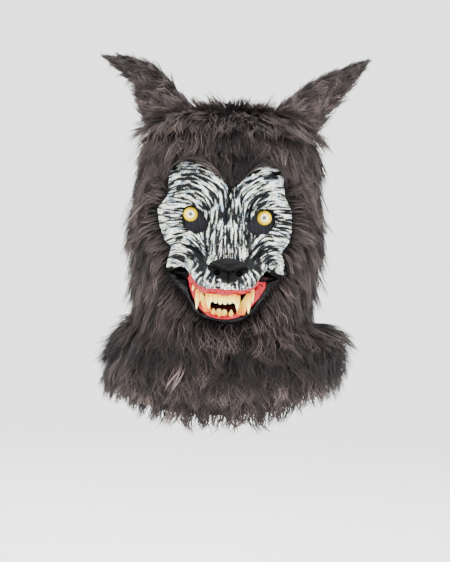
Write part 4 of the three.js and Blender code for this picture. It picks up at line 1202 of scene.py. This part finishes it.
def cloth_piece(node):
    cloth = softened(node + "_knit", node, 2, 6)
    points = positions(cloth)
    x, y, z = points.T / MM
    ripple = lumps(np.random.default_rng(51), x + y * 0.6, z, 22.0) * 0.4
    place_points(cloth, points + vertex_normals(cloth) * ripple[:, None] * MM)
    dressed(cloth, CLOTH, "cloth", node)


# Assembly

FUR = fur_material()
CLOTH = cloth_material()
EYE = eye_material()
PUPIL = pupil_material()
GAUZE = gauze_material()
GUM = gum_material()
TOOTH = tooth_material("tooth", (204, 112, 12), (240, 194, 66), (252, 234, 136))
WARM_TOOTH = tooth_material("warm_tooth", (200, 84, 4), (238, 164, 30), (250, 216, 96))

for backing in ("hood_backing", "cape_backing"):
    cloth_piece(backing)
face_piece()
nose_piece()
for side in ("left", "right"):
    eye_pieces(side)
    gauze_piece(side)
jaw_lip_piece()
lower_gum_piece()
upper_gum_piece()
liner_piece()
for row, names in TEETH.items():
    for name in names:
        tooth_piece(name, row)

front_hood = hood_fur("hood_fur_front", 12300, seed=11, width=1.25 * MM, front=True)
hood_fur("hood_fur_back", 6000, seed=12, width=1.6 * MM, front=False)
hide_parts("hood_pile")
front_cape = cape_fur("cape_fur_front", 5800, seed=13, width=1.35 * MM, steps=LONG_STEPS, front=True)
cape_fur("cape_fur_back", 4200, seed=14, width=1.6 * MM, steps=SHORT_STEPS, front=False)
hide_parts("cape_pile")
ear_fur("ear_left", 2700, seed=15)
ear_fur("ear_right", 2700, seed=16)


# Stage, lights and camera

FLOOR = -0.66
STUDIO, STUDIO_TOP = 4.6, 3.4  # radius, and height of the rim
CAMERA_AWAY, CAMERA_ACROSS, CAMERA_ROLL = 2.2, 0.0016, -3
FRAME_HEIGHT = 0.7025  # what the picture shows from top to bottom, at the mask
MOUTH_HEIGHT = -0.201
MASK_MIDDLE = (0, -0.05, -0.15)
SKY = 0.55

# Name, place, what it points at, size across and power
LIGHTS = [
    ("key", (-0.8, -1.7, 1.1), MASK_MIDDLE, 0.8, 46),
    ("fill", (1.2, -1.6, 0.5), MASK_MIDDLE, 0.9, 32),
    ("top", (0.1, 0.4, 1.5), MASK_MIDDLE, 1.0, 20),
    ("ceiling", (0, 0, 3.3), (0, 0, 0), 4.0, 420),
]


def stage_material():
    m = Nodes("stage")
    m.colour(m.ramp(m.noise(40, 2), [(0.3, (246, 246, 246)), (0.7, (249, 249, 249))]))
    m.finish(0.9, 0.1)
    return m.material


def studio_bowl():
    """A pale round floor that turns up into a wall far away on every side."""
    sides, bend = 96, 1.6
    profile = [(0.7, FLOOR), (1.4, FLOOR), (STUDIO - bend, FLOOR)]
    for i in range(1, 13):
        turn = i / 12 * math.pi / 2
        profile.append((STUDIO - bend + bend * math.sin(turn), FLOOR + bend - bend * math.cos(turn)))
    profile.append((STUDIO, STUDIO_TOP))
    turns = np.linspace(0, 2 * math.pi, sides, endpoint=False)
    points = [(r * math.cos(a), r * math.sin(a), z) for r, z in profile for a in turns] + [(0, 0, FLOOR)]
    faces = []
    for a in range(0, (len(profile) - 1) * sides, sides):
        b = a + sides
        faces += [(a + j, a + (j + 1) % sides, b + (j + 1) % sides, b + j) for j in range(sides)]
    faces += [((j + 2) % sides, j + 1, j, len(points) - 1) for j in range(0, sides, 2)]
    bowl = mesh_object("studio_bowl", np.array(points), np.array(faces))
    bowl.data.materials.append(stage_material())


def area_light(name, place, target, size, power):
    light = bpy.data.lights.new(name, "AREA")
    light.shape = "DISK"
    light.size = size
    light.energy = power
    obj = linked(name, light)
    obj.location = place
    obj.rotation_euler = (Vector(target) - Vector(place)).to_track_quat("-Z", "Y").to_euler()


def add_camera():
    """The photograph's camera: level with the mouth, straight on, rolled by the mask's lean."""
    data = bpy.data.cameras.new("camera")
    data.sensor_width = 36
    data.lens = data.sensor_width * CAMERA_AWAY / FRAME_HEIGHT
    camera = linked("camera", data)
    camera.location = (CAMERA_ACROSS, -CAMERA_AWAY, MOUTH_HEIGHT)
    camera.rotation_euler = (math.pi / 2, math.radians(CAMERA_ROLL), 0)
    bpy.context.scene.camera = camera


studio_bowl()
for light in LIGHTS:
    area_light(*light)
world = bpy.data.worlds.new("studio")
world.use_nodes = True
sky = world.node_tree.nodes["Background"]
sky.inputs["Color"].default_value = (1, 1, 1, 1)
sky.inputs["Strength"].default_value = SKY
bpy.context.scene.world = world
add_camera()
